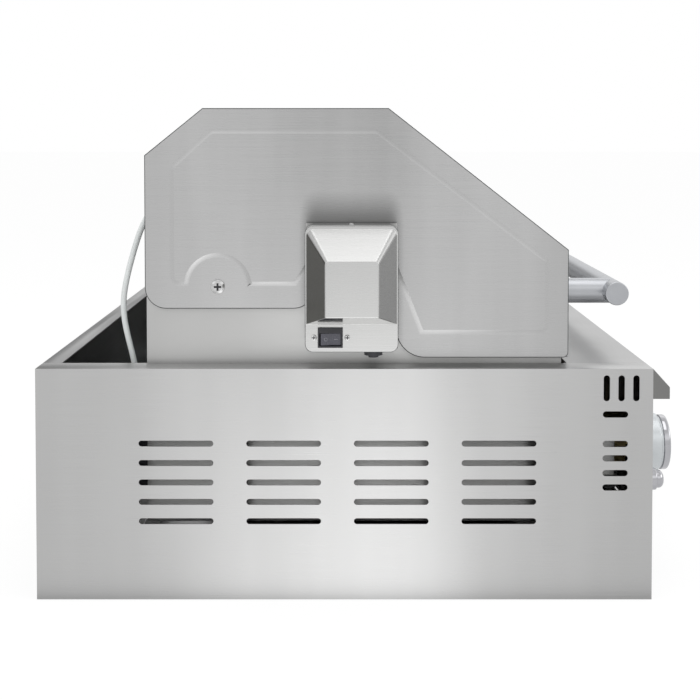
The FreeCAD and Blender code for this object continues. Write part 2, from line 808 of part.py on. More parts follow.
GRATE_PLACES = [f"{place_number}*(grate_width + grate_gap)" for place_number in (-1, 0, 1)]
cooking_grates = group("cooking_grates", [cooking_grate(i, x) for i, x in enumerate(GRATE_PLACES, start=1)])

rack_wires = []
for level_number, y in enumerate(("rack_front", "rack_rear", "(rack_front + rack_rear)/2")):
    rack_wires.append(rod(f"rack_long_{level_number}", "x", f"-{WALL_HALF}", y, "rack_level", "rack_wire",
                          f"2*{WALL_HALF}"))
for number in range(-10, 11):
    rack_wires.append(rod(f"rack_short_{number + 10}", "y", 33 * number, "rack_front", "rack_level",
                          "rack_wire - 0.6", "rack_rear - rack_front"))
warming_rack = join("warming_rack", rack_wires)

# Gas train: manifold with its inlet, valves, stems, knobs and bezels

inlet_back = f"({BACK} + inlet_reach)"
manifold_metal = join("manifold_metal", [
    rod("manifold_tube", "x", "-manifold_half", "-manifold_depth", "manifold_level", "manifold_radius",
        f"manifold_half + {MANIFOLD_END} + manifold_radius + 3"),
    rod("manifold_feed", "y", MANIFOLD_END, "-manifold_depth", "manifold_level", "manifold_radius",
        f"manifold_depth + {inlet_back} - 5"),
    rod("manifold_inlet", "-y", MANIFOLD_END, inlet_back, "manifold_level", "inlet_radius",
        "inlet_reach - inlet_collar"),
    rod("manifold_collar", "y", MANIFOLD_END, BACK, "manifold_level", "inlet_radius + 5", "inlet_collar"),
    rod("manifold_nut", "-y", MANIFOLD_END, f"{BACK} - sheet_thick", "manifold_level", "inlet_radius + 5", 8),
])
manifold_bore = join("manifold_bore", [
    rod("manifold_tube_bore", "x", "-manifold_half + 3", "-manifold_depth", "manifold_level",
        "manifold_radius - 2.5", f"manifold_half - 3 + {MANIFOLD_END}"),
    rod("manifold_feed_bore", "y", MANIFOLD_END, "-manifold_depth", "manifold_level", "manifold_radius - 2.5",
        f"manifold_depth + {inlet_back} + 1"),
])
gas_manifold = cut("gas_manifold", manifold_metal, manifold_bore)


def gas_valve(number, middle):
    """A tapped block that sits on the manifold, with the jet towards its burner."""
    top = "manifold_level + manifold_radius"
    solid = join(f"valve_solid_{number}", [
        block(f"valve_block_{number}", f"{middle} - 12", "-valve_front", top, 24, "valve_depth",
              f"knob_level + 13 - ({top})"),
        rod(f"valve_jet_{number}", "y", middle, "-valve_front + valve_depth - 1", "knob_level", 5, 6),
        rod(f"valve_neck_{number}", "-y", middle, "-valve_front + 1", "knob_level", 8, 5),
    ])
    bore = rod(f"valve_bore_{number}", "-y", middle, "-stem_back + 4.5", "knob_level",
               "stem_radius + running_gap", 30)
    return cut(f"valve_{number}", solid, bore)


gas_valves = group("gas_valves", [gas_valve(i, x) for i, x in enumerate(KNOB_PLACES, start=1)])


def bezel(number, middle):
    """A dished ring on the panel behind a knob."""
    solid = join(f"bezel_solid_{number}", [
        rod(f"bezel_base_{number}", "-y", middle, f"-{BACK}", "knob_level", "bezel_radius", 3),
        cone(f"bezel_dish_{number}", "-y", middle, f"-{BACK} - 3", "knob_level", "bezel_radius",
             "bezel_radius - 4", f"bezel_front - {BACK} - 3"),
    ])
    hollow = join(f"bezel_hollow_{number}", [
        rod(f"bezel_hole_{number}", "-y", middle, f"-{BACK} + 1", "knob_level", "stem_radius + 2", 12),
        cone(f"bezel_bowl_{number}", "-y", middle, f"-{BACK} - 3", "knob_level", "bezel_radius - 8",
             "bezel_radius - 5.5", 6),
    ])
    return cut(f"bezel_{number}", solid, hollow)


knob_bezels = group("knob_bezels", [bezel(i, x) for i, x in enumerate(KNOB_PLACES, start=1)])

valve_stems = []
knobs = []
for number, middle in enumerate(KNOB_PLACES, start=1):
    # The stem stops 4 short of the bore's bottom, which is the way it travels when pushed.
    valve_stems.append(rod(f"valve_stem_{number}", "-y", middle, "-stem_back", "knob_level", "stem_radius",
                           "stem_length"))
    knob_solid = join(f"knob_solid_{number}", [
        rod(f"knob_skirt_{number}", "-y", middle, "-knob_back", "knob_level", "knob_radius + 1.3",
            "knob_step - knob_back"),
        rod(f"knob_body_{number}", "-y", middle, "-knob_step", "knob_level", "knob_radius - 1.5",
            "knob_front - knob_step - 6.5"),
        rod(f"knob_ring_{number}", "-y", middle, "-knob_front + 6.5", "knob_level", "knob_radius", 5.5),
        cone(f"knob_edge_{number}", "-y", middle, "-knob_front + 1", "knob_level", "knob_radius",
             "knob_radius - 1.2", 1),
        block(f"knob_grip_{number}", f"{middle} - grip_width/2", "-knob_front - grip_rise",
              "knob_level - grip_half", "grip_width", "grip_rise + 1.5", "2*grip_half"),
    ])
    knob_bore = rod(f"knob_bore_{number}", "-y", middle, "-knob_back + 1", "knob_level",
                    "stem_radius + running_gap", 19)
    knobs.append(cut(f"knob_{number}", knob_solid, knob_bore))

# Lamp button with its collar

collar_solid = join("collar_solid", [
    rod("collar_tube", "-y", "-button_place", f"-{BACK}", "button_level", "collar_radius",
        f"collar_front - {BACK}"),
    rod("collar_foot", "-y", "-button_place", f"-{BACK}", "button_level", "collar_radius + 2.5", 2.5),
])
collar_hollow = join("collar_hollow", [
    rod("collar_cup", "-y", "-button_place", f"-{BACK} - 4", "button_level", "button_radius + running_gap", 20),
    rod("collar_hole", "-y", "-button_place", f"-{BACK} + 1", "button_level", "stem_radius + running_gap", 20),
])
button_collar = cut("button_collar", collar_solid, collar_hollow)
button_dome = 3.6
light_button = join("light_button", [
    rod("button_cap", "-y", "-button_place", "-button_front + 12.4", "button_level", "button_radius", 8.8),
    cone("button_crown", "-y", "-button_place", f"-button_front + {button_dome}", "button_level",
         "button_radius", "button_radius - 3.6", button_dome),
    rod("button_pin", "-y", "-button_place", "-280", "button_level", "stem_radius - 0.03", "button_front - 288"),
])

# Drip tray on two rails

tray_front = f"(-{BACK} + sheet_thick)"
drip_tray_shell = cut(
    "tray_shell",
    join("tray_solid", [
        block("tray_pan", "-tray_half", tray_front, "tray_low", "2*tray_half", f"tray_rear - {tray_front}",
              "tray_high - tray_low"),
        block("tray_lips", "-tray_half - 13", tray_front, "tray_high - sheet_thick", "2*tray_half + 26",
              f"tray_rear - {tray_front}", "sheet_thick"),
    ]),
    block("tray_inside", "-tray_half + sheet_thick", f"{tray_front} + sheet_thick", "tray_low + sheet_thick",
          "2*(tray_half - sheet_thick)", f"tray_rear - {tray_front} - 2*sheet_thick", "tray_high"),
)
tray_face = cut(
    "tray_face",
    block("tray_face_sheet", "-tray_face_half", f"-{BACK}", "tray_face_low", "2*tray_face_half", "sheet_thick",
          "panel_low - 2 - tray_face_low"),
    block("tray_grip_slot", "-tray_grip_half", f"-{BACK} - 1", "tray_grip_low", "2*tray_grip_half", 4,
          "tray_grip_high - tray_grip_low"),
)
drip_tray = join("drip_tray", [drip_tray_shell, tray_face])


def tray_rail(name, sign):
    """A folded angle on the base pan that carries one lip of the tray."""
    body = new_body(name, x=f"{sign}*(tray_half + 16)", y="-40")
    path = [
        (f"{sign}*14", "sheet_thick"),
        ("0", "sheet_thick"),
        ("0", "tray_high - 2*sheet_thick - 0.4"),
        (f"{-sign}*14", "tray_high - 2*sheet_thick - 0.4"),
    ]
    folded_sheet(body, "XZ", path, -sign, "cabinet_depth - 100", f"{name}_sheet")
    return body


tray_rails = group("tray_rails", [tray_rail("tray_rail_left", -1), tray_rail("tray_rail_right", 1)])

# Hood: two stamped sides, one folded skin and a liner

HOOD_OUTLINE = [
    ("-hood_front", "hood_low"),
    ("-hood_front", "hood_knee"),
    ("-top_front", "hood_top"),
    ("top_rear", "hood_top"),
    ("hood_rear", "rear_knee"),
    ("hood_rear", "hood_tail"),
    ("notch_rear", "hood_tail"),
    ("notch_rear", "notch_bend_rear"),
    ("notch_top_rear", "notch_top"),
    ("-notch_top_front", "notch_top"),
    ("-notch_front", "notch_bend_front"),
    ("-notch_front", "hood_low"),
]

# The raised panel keeps about 22 from the outline and goes round the pivot and the notch.
RAISED_OUTLINE = [
    ("-hood_front + 17.7", "hood_low + 21.5"),
    ("-hood_front + 17.7", "hood_knee - 9"),
    ("-top_front + 10", "hood_top - 19"),
    ("top_rear - 7", "hood_top - 19"),
    ("hood_rear - 23", "rear_knee - 10"),
    ("hood_rear - 23", "pivot_z"),
    ("pivot_y + pivot_land", "pivot_z"),
    ("pivot_y - pivot_land", "pivot_z"),
    ("notch_rear + 17", "pivot_z"),
    ("notch_top_rear - 2", "notch_top + 13"),
    ("-notch_top_front - 3", "notch_top + 13"),
    ("-notch_front - 22", "hood_low + 21.5"),
]
PIVOT_SIDE = 6


def hood_side(name, sign):
    """sign is -1 for the left side and 1 for the right one. The raised panel faces outwards."""
    body = new_body(name, x=f"{sign}*hood_half")
    outline = new_sketch(body, "YZ", f"{name}_outline")
    add_outline(outline, HOOD_OUTLINE)
    add_circle(outline, "pivot_y", "pivot_z", "pivot_radius + running_gap")
    pad(body, outline, "sheet_thick", f"{name}_sheet", reverse=sign > 0)
    round_corners(body, "tail_corner", [("hood_rear", "hood_tail"), ("notch_rear", "hood_tail")],
                  f"{name}_tail_corners")
    round_corners(body, "notch_corner", [("-notch_front", "hood_low")], f"{name}_notch_corner")
    raised = new_sketch(body, "YZ", f"{name}_raised")
    add_outline(raised, RAISED_OUTLINE, {PIVOT_SIDE: "pivot_z"})
    pad(body, raised, "raised_height", f"{name}_raised_panel", reverse=sign < 0)
    round_corners(body, "10", [RAISED_OUTLINE[i] for i in (0, 1, 2, 3, 4, 5)], f"{name}_raised_corners")
    return body


hood_left_side = hood_side("hood_left_side", -1)
hood_right_side = hood_side("hood_right_side", 1)

SKIN_PATH = HOOD_OUTLINE[:5] + [("hood_rear", "skin_tail")]
hood_skin_body = new_body("hood_skin")
folded_sheet(hood_skin_body, "YZ", SKIN_PATH, -1, "2*(hood_half - sheet_thick)", "skin_sheet")
cable_slot = new_sketch(hood_skin_body, "XZ", "cable_slot")
slot_corners = [
    ("-cable_x - 5.5", "skin_tail - 5"),
    ("-cable_x + 5.5", "skin_tail - 5"),
    ("-cable_x + 5.5", "skin_tail + 14"),
    ("-cable_x - 5.5", "skin_tail + 14"),
]
add_outline(cable_slot, slot_corners)
cable_slot.AttachmentOffset = FreeCAD.Placement(V(0, 0, -value("hood_rear")), FreeCAD.Rotation())
bind(cable_slot, ".AttachmentOffset.Base.z", "-hood_rear")
pocket(hood_skin_body, cable_slot, "skin_cable_slot", "10")

hood_liner = new_body("hood_liner")
LINER_PATH = [
    ("-hood_front + sheet_thick", "hood_knee - 40"),
    ("-hood_front + 16", "hood_knee - 40"),
    ("-hood_front + 16", "hood_knee - 8"),
    ("-top_front + 4", "hood_top - 16"),
    ("top_rear - 20", "hood_top - 16"),
    ("top_rear - 20", "hood_top - sheet_thick"),
]
folded_sheet(hood_liner, "YZ", LINER_PATH, -1, "2*(hood_half - sheet_thick)", "liner_sheet")

# Hood: handle, lights, thermometer and the cable's gland

handle_bar = rod("handle_bar", "x", "-handle_half", "-handle_y", "handle_z", "handle_radius", "2*handle_half")
handle_bore = rod("handle_bore", "x", "-handle_half + 3", "-handle_y", "handle_z", "handle_radius - 1.5",
                  "2*handle_half - 6")
handle_tube = cut("handle_tube", handle_bar, handle_bore)


def handle_post(name, sign):
    x = f"{sign}*post_place"
    post = join(f"{name}_solid", [
        rod(f"{name}_bar", "-y", x, "-hood_front", "handle_z", "post_radius", "handle_y - hood_front"),
        rod(f"{name}_foot", "-y", x, "-hood_front", "handle_z", "post_radius + 3", 4),
    ])
    saddle = rod(f"{name}_saddle", "x", f"{x} - 30", "-handle_y", "handle_z", "handle_radius", 60)
    return cut(name, post, saddle)


handle_posts = group("handle_posts", [handle_post("post_left", -1), handle_post("post_right", 1)])


def hood_light(name, sign):
    """A round lamp with a lens, under the liner."""
    x = f"{sign}*lamp_place"
    top = "(hood_top - 16 - sheet_thick)"
    return join(name, [
        rod(f"{name}_case", "z", x, "lamp_y", f"{top} - 14", "lamp_radius", 14),
        rod(f"{name}_lens", "z", x, "lamp_y", f"{top} - 18", "lamp_radius - 6", 5),
    ])


hood_lights = group("hood_lights", [hood_light("hood_light_left", -1), hood_light("hood_light_right", 1)])

# The thermometer stands square to the slope, half way up it.
SLOPE_TURN = "atan2(hood_top - hood_knee; hood_front - top_front)"
slope_angle = value(SLOPE_TURN)
slope_normal = V(0, -math.sin(math.radians(slope_angle)), math.cos(math.radians(slope_angle)))
gauge_turn = FreeCAD.Rotation(V(0, 0, 1), slope_normal)
GAUGE_Y = "-(hood_front + top_front)/2"
GAUGE_Z = "(hood_knee + hood_top)/2"


def on_slope(obj, height):
    """Stands an object on the slope, height above its face along the slope's normal."""
    x = "0"
    y = f"{GAUGE_Y} - ({height})*sin({SLOPE_TURN})"
    z = f"{GAUGE_Z} + ({height})*cos({SLOPE_TURN})"
    return place(obj, x, y, z, gauge_turn)


gauge_rim = on_slope(rod("gauge_rim", "z", 0, 0, 0, "gauge_radius", "gauge_depth"), 0)
gauge_cup = on_slope(rod("gauge_cup", "z", 0, 0, 0, "gauge_radius - 4", "gauge_depth"), 2)
gauge_hub = on_slope(rod("gauge_hub", "z", 0, 0, 0, 1.5, 3.5), 1.5)
thermometer_case = join("thermometer_case", [cut("gauge_ring", gauge_rim, gauge_cup), gauge_hub])
needle_plate = on_slope(rod("needle_plate", "z", 0, 0, 0, 3.5, 1), 3)
needle_blade = on_slope(block("needle_blade", 0, 0, 0, 24, 1.6, 1), 3)
needle_bore = on_slope(rod("needle_bore", "z", 0, 0, 0, "1.5 + running_gap", 3), 2)
thermometer_needle = cut("thermometer_needle", join("needle_metal", [needle_plate, needle_blade]), needle_bore)

GLAND_LENGTH = 12
GLAND_RADIUS = 5.5
GLAND_END = (188.3, 353.0)
# The gland leans 30 degrees out from straight down.
GLAND_OUT = math.sin(math.radians(30))
GLAND_DOWN = math.cos(math.radians(30))
hood_cable_gland = rod("hood_cable_gland", "z", 0, 0, 0, GLAND_RADIUS, GLAND_LENGTH)
place(hood_cable_gland, "-cable_x", GLAND_END[0] - GLAND_OUT * GLAND_LENGTH,
      GLAND_END[1] + GLAND_DOWN * GLAND_LENGTH, FreeCAD.Rotation(V(0, 0, 1), V(0, GLAND_OUT, -GLAND_DOWN)))

# Hinge: screws through the hood sides into the firebox walls, with bushes between them


def cross_recess(name, x, y, z, direction, size, depth):
    """Two crossed slots in a screw's head, which faces along direction on the X axis."""
    start = f"{x} - {depth}" if direction > 0 else x
    return join(name, [
        block(f"{name}_a", start, f"{y} - {size}/2", f"{z} - {size}/8", depth, size, f"{size}/4"),
        block(f"{name}_b", start, f"{y} - {size}/8", f"{z} - {size}/2", depth, f"{size}/4", size),
    ])


def hinge_screw(name, sign):
    axis = "x" if sign > 0 else "-x"
    head_base = f"{sign}*(hood_half + running_gap)"
    head = join(f"{name}_metal", [
        rod(f"{name}_shank", axis, f"{sign}*(firebox_half - 14)", "pivot_y", "pivot_z", "pivot_radius",
            "hood_half - firebox_half + 15"),
        rod(f"{name}_nut", axis, f"{sign}*(firebox_half - sheet_thick - 5)", "pivot_y", "pivot_z", 6.5, 5),
        rod(f"{name}_disc", axis, head_base, "pivot_y", "pivot_z", "pivot_head", 1.6),
        cone(f"{name}_dome", axis, f"{head_base} + {sign}*1.6", "pivot_y", "pivot_z", "pivot_head",
             "pivot_head - 2.2", 1.4),
    ])
    top = f"{head_base} + {sign}*3"
    return cut(name, head, cross_recess(f"{name}_cross", f"({top})", "pivot_y", "pivot_z", sign, 7, 2))


def hinge_bush(name, sign):
    axis = "x" if sign > 0 else "-x"
    length = "(hood_half - sheet_thick - firebox_half - running_gap)"
    x = f"{sign}*firebox_half"
    return cut(name, rod(f"{name}_ring", axis, x, "pivot_y", "pivot_z", 8, length),
               rod(f"{name}_bore", axis, f"{sign}*(firebox_half - 1)", "pivot_y", "pivot_z",
                   "pivot_radius + running_gap", 12))


hinge_screws = group("hinge_screws", [
    hinge_screw("hinge_screw_left", -1),
    hinge_screw("hinge_screw_right", 1),
    hinge_bush("hinge_bush_left", -1),
    hinge_bush("hinge_bush_right", 1),
])

# Rotisserie motor: bracket, back plate, gearbox and stamped cover

motor_bracket = cut(
    "motor_bracket",
    block("bracket_sleeve", "-motor_plane + sheet_thick", "spit_y - 17", "spit_z - 34",
          "motor_plane - firebox_half - sheet_thick", 34, 56),
    block("bracket_inside", "-motor_plane", "spit_y - 15.5", "spit_z - 32.5", 30, 31, 53),
)
motor_back_plate = cut(
    "motor_back_plate",
    block("back_plate_sheet", "-motor_plane", "-motor_front", "motor_low", "sheet_thick",
          "motor_front + motor_rear", "motor_high - motor_low"),
    rod("back_plate_hole", "x", "-motor_plane - 1", "spit_y", "spit_z", 12.5, 5),
)
motor_gearbox = block("motor_gearbox", "-motor_plane - gearbox_depth - 2.5", "spit_y - gearbox_side/2",
                      "gearbox_low", "gearbox_depth", "gearbox_side", "gearbox_side")


def motor_form(name, inset):
    """The cover's outside, or its inside where inset is the sheet's thickness."""
    rim = block(f"{name}_rim", f"-motor_plane - motor_rim + {inset}", f"-motor_front + {inset}",
                f"motor_low + {inset}", "motor_rim", f"motor_front + motor_rear - 2*{inset}",
                f"motor_high - motor_low - 2*{inset}")
    # A wedge grows along its own Y, from a base in XZ to a smaller face. A quarter turn about Z
    # points its Y away from the grill and its X towards the rear.
    slope = doc.addObject("Part::Wedge", f"{name}_slope")
    slope.Label = f"{name}_slope"
    bind(slope, "Ymax", "motor_rise")
    bind(slope, "Xmax", f"motor_front + motor_rear - 2*{inset} - 2*slope_margin")
    bind(slope, "Zmax", f"motor_high - slope_low - slope_drop - 2*{inset}")
    bind(slope, "X2min", "motor_front - face_front - slope_margin")
    bind(slope, "X2max", f"motor_front + face_rear - slope_margin - 2*{inset}")
    bind(slope, "Z2min", "face_low - slope_low")
    bind(slope, "Z2max", f"face_high - slope_low - 2*{inset}")
    place(slope, f"-motor_plane - motor_rim + {inset}", f"-motor_front + slope_margin + {inset}",
          f"slope_low + {inset}", FreeCAD.Rotation(V(0, 0, 1), 90))
    return rim, slope


outer_rim, outer_slope = motor_form("cover_outside", "0")
cover_corners = doc.addObject("Part::Fillet", "cover_corners")
cover_corners.Base = outer_rim
doc.recompute()
cover_corners.Edges = [
    (index, value("cover_corner"), value("cover_corner"))
    for index, edge in enumerate(outer_rim.Shape.Edges, start=1)
    if edge.BoundBox.XLength > value("motor_rim") / 2
]
cover_shell = cut("cover_shell", join("cover_metal", [cover_corners, outer_slope]),
                  join("cover_hollow", motor_form("cover_inside", "sheet_thick")))
GLAND_X = "(-motor_plane - motor_rim/2)"
cover_openings = group("cover_openings", [
    block("switch_opening", "-motor_plane - motor_rim - 3", "switch_y - 10.2", "switch_z - 8.4", 6, 20.4, 16.8),
    rod("cord_opening", "z", GLAND_X, "cord_y", "motor_low - 3", "cord_radius + 2", 6),
])
motor_cover = cut("motor_cover", cover_shell, cover_openings)

motor_cord_gland = cut(
    "motor_cord_gland",
    join("cord_gland_solid", [
        rod("cord_gland_flange", "z", GLAND_X, "cord_y", "motor_low - 4.6", 8.4, 4.6),
        rod("cord_gland_neck", "z", GLAND_X, "cord_y", "motor_low - 6.8", "cord_radius + 1.4", 11),
    ]),
    rod("cord_gland_bore", "z", GLAND_X, "cord_y", "motor_low - 8", "cord_radius", 14),
)

# Rotisserie switch: a frame with a body behind it, and a rocker that tilts about an upright pin

SWITCH_X = "(-motor_plane - motor_rim)"
switch_housing = cut(
    "switch_housing",
    join("switch_solid", [
        block("switch_rim", f"{SWITCH_X} - 2", "switch_y - switch_length/2", "switch_z - switch_height/2",
              2, "switch_length", "switch_height"),
        block("switch_case", f"{SWITCH_X} - 1", "switch_y - 10", "switch_z - 8.2", 15, 20, 16.4),
    ]),
    block("switch_well", f"{SWITCH_X} - 3", "switch_y - rocker_length/2 - 0.4", "rocker_z - rocker_height/2 - 0.2",
          12, "rocker_length + 0.8", "rocker_height + 0.4"),
)
ROCKER_X = f"({SWITCH_X} + 3.5)"
motor_switch_frame = join("motor_switch_frame", [
    switch_housing,
    rod("rocker_pin_rod", "z", ROCKER_X, "switch_y", "rocker_z - rocker_height/2 - 0.5", "rocker_pin",
        "rocker_height + 1"),
])
ROCKER_TILT = 7
switch_rocker = new_body("switch_rocker")
rocker_sketch = new_sketch(switch_rocker, "XY", "rocker_sketch")
rocker_corners = [
    ("3", "-rocker_length/2 + 1.5"),
    ("3", "rocker_length/2 - 1.5"),
    ("-4", "rocker_length/2 - 0.3"),
    ("-3.2", "0"),
    ("-4", "-rocker_length/2 + 0.3"),
]
add_outline(rocker_sketch, rocker_corners)
add_circle(rocker_sketch, "0", "0", "rocker_pin + running_gap")
pad(switch_rocker, rocker_sketch, "rocker_height - 0.4", "rocker_solid", symmetric=True)
place(switch_rocker, ROCKER_X, "switch_y", "rocker_z", FreeCAD.Rotation(V(0, 0, 1), ROCKER_TILT))

# Spit: drive socket, square rod with its bush, two forks and a handle


def square_bar(name, start, length, side):
    return block(name, start, f"spit_y - {side}/2", f"spit_z - {side}/2", length, side, side)


drive_socket = cut(
    "drive_socket",
    rod("socket_solid", "x", "-motor_plane - 2.2", "spit_y", "spit_z", 10, 16.2),
    square_bar("socket_bore", "-motor_plane + 3", 20, "(spit_side + 0.4)"),
)
spit_rod = join("spit_rod", [
    square_bar("spit_bar", "-motor_plane + 4", "2*motor_plane", "spit_side"),
    rod("spit_bush", "x", "firebox_half - 6", "spit_y", "spit_z", "spit_bush_radius", 12),
    rod("spit_shoulder", "x", "firebox_half - 9", "spit_y", "spit_z", 9, 3),
    rod("spit_collar", "x", "firebox_half + 3", "spit_y", "spit_z", 9, 3),
])
spit_handle = cut(
    "spit_handle",
    join("spit_handle_solid", [
        rod("spit_ferrule", "x", "motor_plane - 4", "spit_y", "spit_z", 8, 8),
        cone("spit_grip_near", "x", "motor_plane + 4", "spit_y", "spit_z", 9, 12, 18),
        rod("spit_grip_middle", "x", "motor_plane + 22", "spit_y", "spit_z", 12, 44),
        cone("spit_grip_end", "x", "motor_plane + 66", "spit_y", "spit_z", 12, 8, 8),
    ]),
    square_bar("spit_handle_bore", "motor_plane - 5", 9, "spit_side"),
)


def spit_fork(name, sign):
    """A hub with a clamping screw, a cross plate and four tines that point to the middle."""
    hub_start = f"{sign}*fork_place - 9"
    inner = f"{sign}*fork_place - {sign}*9"
    axis = "-x" if sign > 0 else "x"
    pieces = [
        rod(f"{name}_hub", "x", hub_start, "spit_y", "spit_z", 9, 18),
        block(f"{name}_plate", f"{inner} - 1.5", "spit_y - 26", "spit_z - 8", 3, 52, 16),
        rod(f"{name}_screw", "z", f"{sign}*fork_place", "spit_y", "spit_z + 6", 2.5, 14),
        rod(f"{name}_screw_head", "z", f"{sign}*fork_place", "spit_y", "spit_z + 16", 7, 5),
    ]
    for tine, (across, up) in enumerate(((-22, -5), (-22, 5), (22, -5), (22, 5))):
        pieces.append(cone(f"{name}_tine_{tine}", axis, inner, f"spit_y + ({across})", f"spit_z + ({up})",
                           2.3, 0.8, 82))
    return cut(name, join(f"{name}_solid", pieces), square_bar(f"{name}_bore", f"{hub_start} - 2", 24,
                                                              "(spit_side + 0.2)"))


spit_forks = group("spit_forks", [spit_fork("spit_fork_left", -1), spit_fork("spit_fork_right", 1)])

# Small screws of the motor cover and the back panel


def step_along(axis, x, y, z, distance):
    """The place that lies a distance away along an axis."""
    sign = "-" if axis.startswith("-") else "+"
    moved = {"x": x, "y": y, "z": z}
    letter = axis[-1]
    moved[letter] = f"{moved[letter]} {sign} {distance}"
    return moved["x"], moved["y"], moved["z"]


def small_screw(name, axis, x, y, z, radius):
    """A low round head with a crossed recess, lying on its panel."""
    head = join(f"{name}_head", [
        rod(f"{name}_disc", axis, x, y, z, radius, 0.8),
        cone(f"{name}_dome", axis, *step_along(axis, x, y, z, 0.8), radius, f"{radius} - 1", 0.6),
    ])
    size = 1.3 * radius
    reach = step_along(axis, x, y, z, 0.5)
    slots = []
    for number, (long_side, short_side) in enumerate(((size, size / 4), (size / 4, size))):
        if axis in ("x", "-x"):
            start = reach[0] if axis == "x" else f"{reach[0]} - 2"
            slots.append(block(f"{name}_slot_{number}", start, f"{y} - {long_side/2}", f"{z} - {short_side/2}",
                               2, long_side, short_side))
        elif axis == "y":
            slots.append(block(f"{name}_slot_{number}", f"{x} - {long_side/2}", reach[1], f"{z} - {short_side/2}",
                               long_side, 2, short_side))
        else:
            slots.append(block(f"{name}_slot_{number}", f"{x} - {long_side/2}", f"{y} - {short_side/2}", reach[2],
                               long_side, short_side, 2))
    return cut(name, head, group(f"{name}_cross", slots))


COVER_SCREW = 2.6
PANEL_SCREW = 3.6
side_screw_places = [(x, z) for x in (-365, 365) for z in (25, 135, 195)]
back_screw_places = side_screw_places + [(x, 15) for x in (-180, 0, 180)]
small_screws = group("small_screws", [
    small_screw("cover_screw_rear", "-x", SWITCH_X, 27.5, "switch_z", COVER_SCREW),
    small_screw("cover_screw_front", "-x", SWITCH_X, -2.9, "switch_z", COVER_SCREW),
    small_screw("cover_screw_top", "z", GLAND_X, -6.5, "motor_high", COVER_SCREW),
    *[small_screw(f"panel_screw_{number}", "y", x, BACK, z, PANEL_SCREW)
      for number, (x, z) in enumerate(back_screw_places, start=1)],
])

# Lamp driver box with its grommet, and the free cable from the hood down to it

light_driver_box = block("light_driver_box", "-cable_x - 15", "firebox_rear", "driver_low", 60, 52,
                         "driver_high - driver_low")
GROMMET_Y = 196
GROMMET_TOP = 150
cable_grommet = join("cable_grommet", [
    rod("grommet_collar", "z", "-cable_x", GROMMET_Y, "driver_high", 7, 4),
    rod("grommet_neck", "z", "-cable_x", GROMMET_Y, "driver_high + 4", 5, f"{GROMMET_TOP} - driver_high - 4"),
])

# The cable's route at the cable's own X, as (y, z), from the hood's gland to the grommet.
CABLE_ROUTE = [
    GLAND_END,
    (GLAND_END[0] + 8 * GLAND_OUT, GLAND_END[1] - 8 * GLAND_DOWN),
    (197.3, 334.0),
    (202.6, 317.0),
    (208.0, 297.0),
    (212.2, 275.0),
    (211.8, 256.0),
    (208.3, 238.0),
    (203.0, 217.0),
    (198.2, 192.0),
    (GROMMET_Y, 171.0),
    (GROMMET_Y, GROMMET_TOP),
]


def cable_edges(route, x):
    """Straight runs joined by tangent arcs, each as large as its two runs allow."""
    points = [V(x, y, z) for y, z in route]
    edges = []
    radii = []
    start = points[0]
    for before, corner, after in zip(points, points[1:], points[2:]):
        come = (corner - before).normalize()
        leave = (after - corner).normalize()
        turn = come.getAngle(leave)
        reach = 0.45 * min((corner - before).Length, (after - corner).Length)
        radii.append(reach / math.tan(turn / 2))
        first = corner - come * reach
        last = corner + leave * reach
        bulge = corner + (leave - come).normalize() * (radii[-1] / math.cos(turn / 2) - radii[-1])
        edges.append(Part.LineSegment(start, first).toShape())
        edges.append(Part.Arc(first, bulge, last).toShape())
        start = last
    edges.append(Part.LineSegment(start, points[-1]).toShape())
    return edges, radii


route_edges, route_radii = cable_edges(CABLE_ROUTE, -value("cable_x"))
route_wire = Part.Wire(route_edges)
route_start = route_edges[0].tangentAt(route_edges[0].FirstParameter)
cable_section = Part.Wire(Part.makeCircle(value("cable_radius"), route_edges[0].Vertexes[0].Point, route_start))
hood_light_cable = doc.addObject("Part::Feature", "hood_light_cable")
hood_light_cable.Label = "hood_light_cable"
hood_light_cable.Shape = route_wire.makePipeShell([cable_section], True, False)
hood_light_cable.Placement = FreeCAD.Placement()
expected_volume = math.pi * value("cable_radius") ** 2 * route_wire.Length
print("cable radii", [round(radius, 1) for radius in route_radii])
print("cable length", round(route_wire.Length, 1), "volume ratio",
      round(hood_light_cable.Shape.Volume / expected_volume, 4))

# Every sub-part is checked and then written

SUBPARTS = [
    left_side_panel, right_side_panel, back_panel, base_pan, front_ledge, control_panel,
    firebox_left_wall, firebox_right_wall, firebox_front_wall, firebox_rear_wall,
    rear_burner, rear_burner_pipe, main_burners, igniter_electrodes, flame_tamers, cooking_grates,
    warming_rack, gas_manifold, gas_valves, knob_bezels, *valve_stems, *knobs,
    button_collar, light_button, drip_tray, tray_rails,
    hood_left_side, hood_right_side, hood_skin_body, hood_liner, handle_tube, handle_posts, hood_lights,
    thermometer_case, thermometer_needle, hood_cable_gland,
    hinge_screws, motor_bracket, motor_back_plate, motor_gearbox, motor_cover,
    motor_cord_gland, motor_switch_frame, switch_rocker, drive_socket, spit_rod, spit_handle, spit_forks,
    small_screws, light_driver_box, cable_grommet, hood_light_cable,
]

doc.recompute()
faults = [obj.Label for obj in doc.Objects if "Invalid" in obj.State or "Error" in obj.State]
for obj in SUBPARTS:
    if obj.Shape.isNull() or not obj.Shape.isValid() or not obj.Shape.Solids:
        faults.append(f"{obj.Label} has no valid solid")
if faults:
    raise RuntimeError(f"faults in the model: {faults}")
os.makedirs("parts", exist_ok=True)
for obj in SUBPARTS:
    obj.Shape.exportStep(f"parts/{obj.Label}.step")
print(len(SUBPARTS), "sub-parts written")
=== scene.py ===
# %% [markdown]
# # A built-in gas grill
# The CAD model comes in as a fixed frame, already at its real size and place. Nothing in it is moved.
# Camera and cable come first, then the studio, the finishes, and last the pieces with softer forms.

# %% Load the frame
import json
import math

import bpy
from mathutils import Matrix, Vector


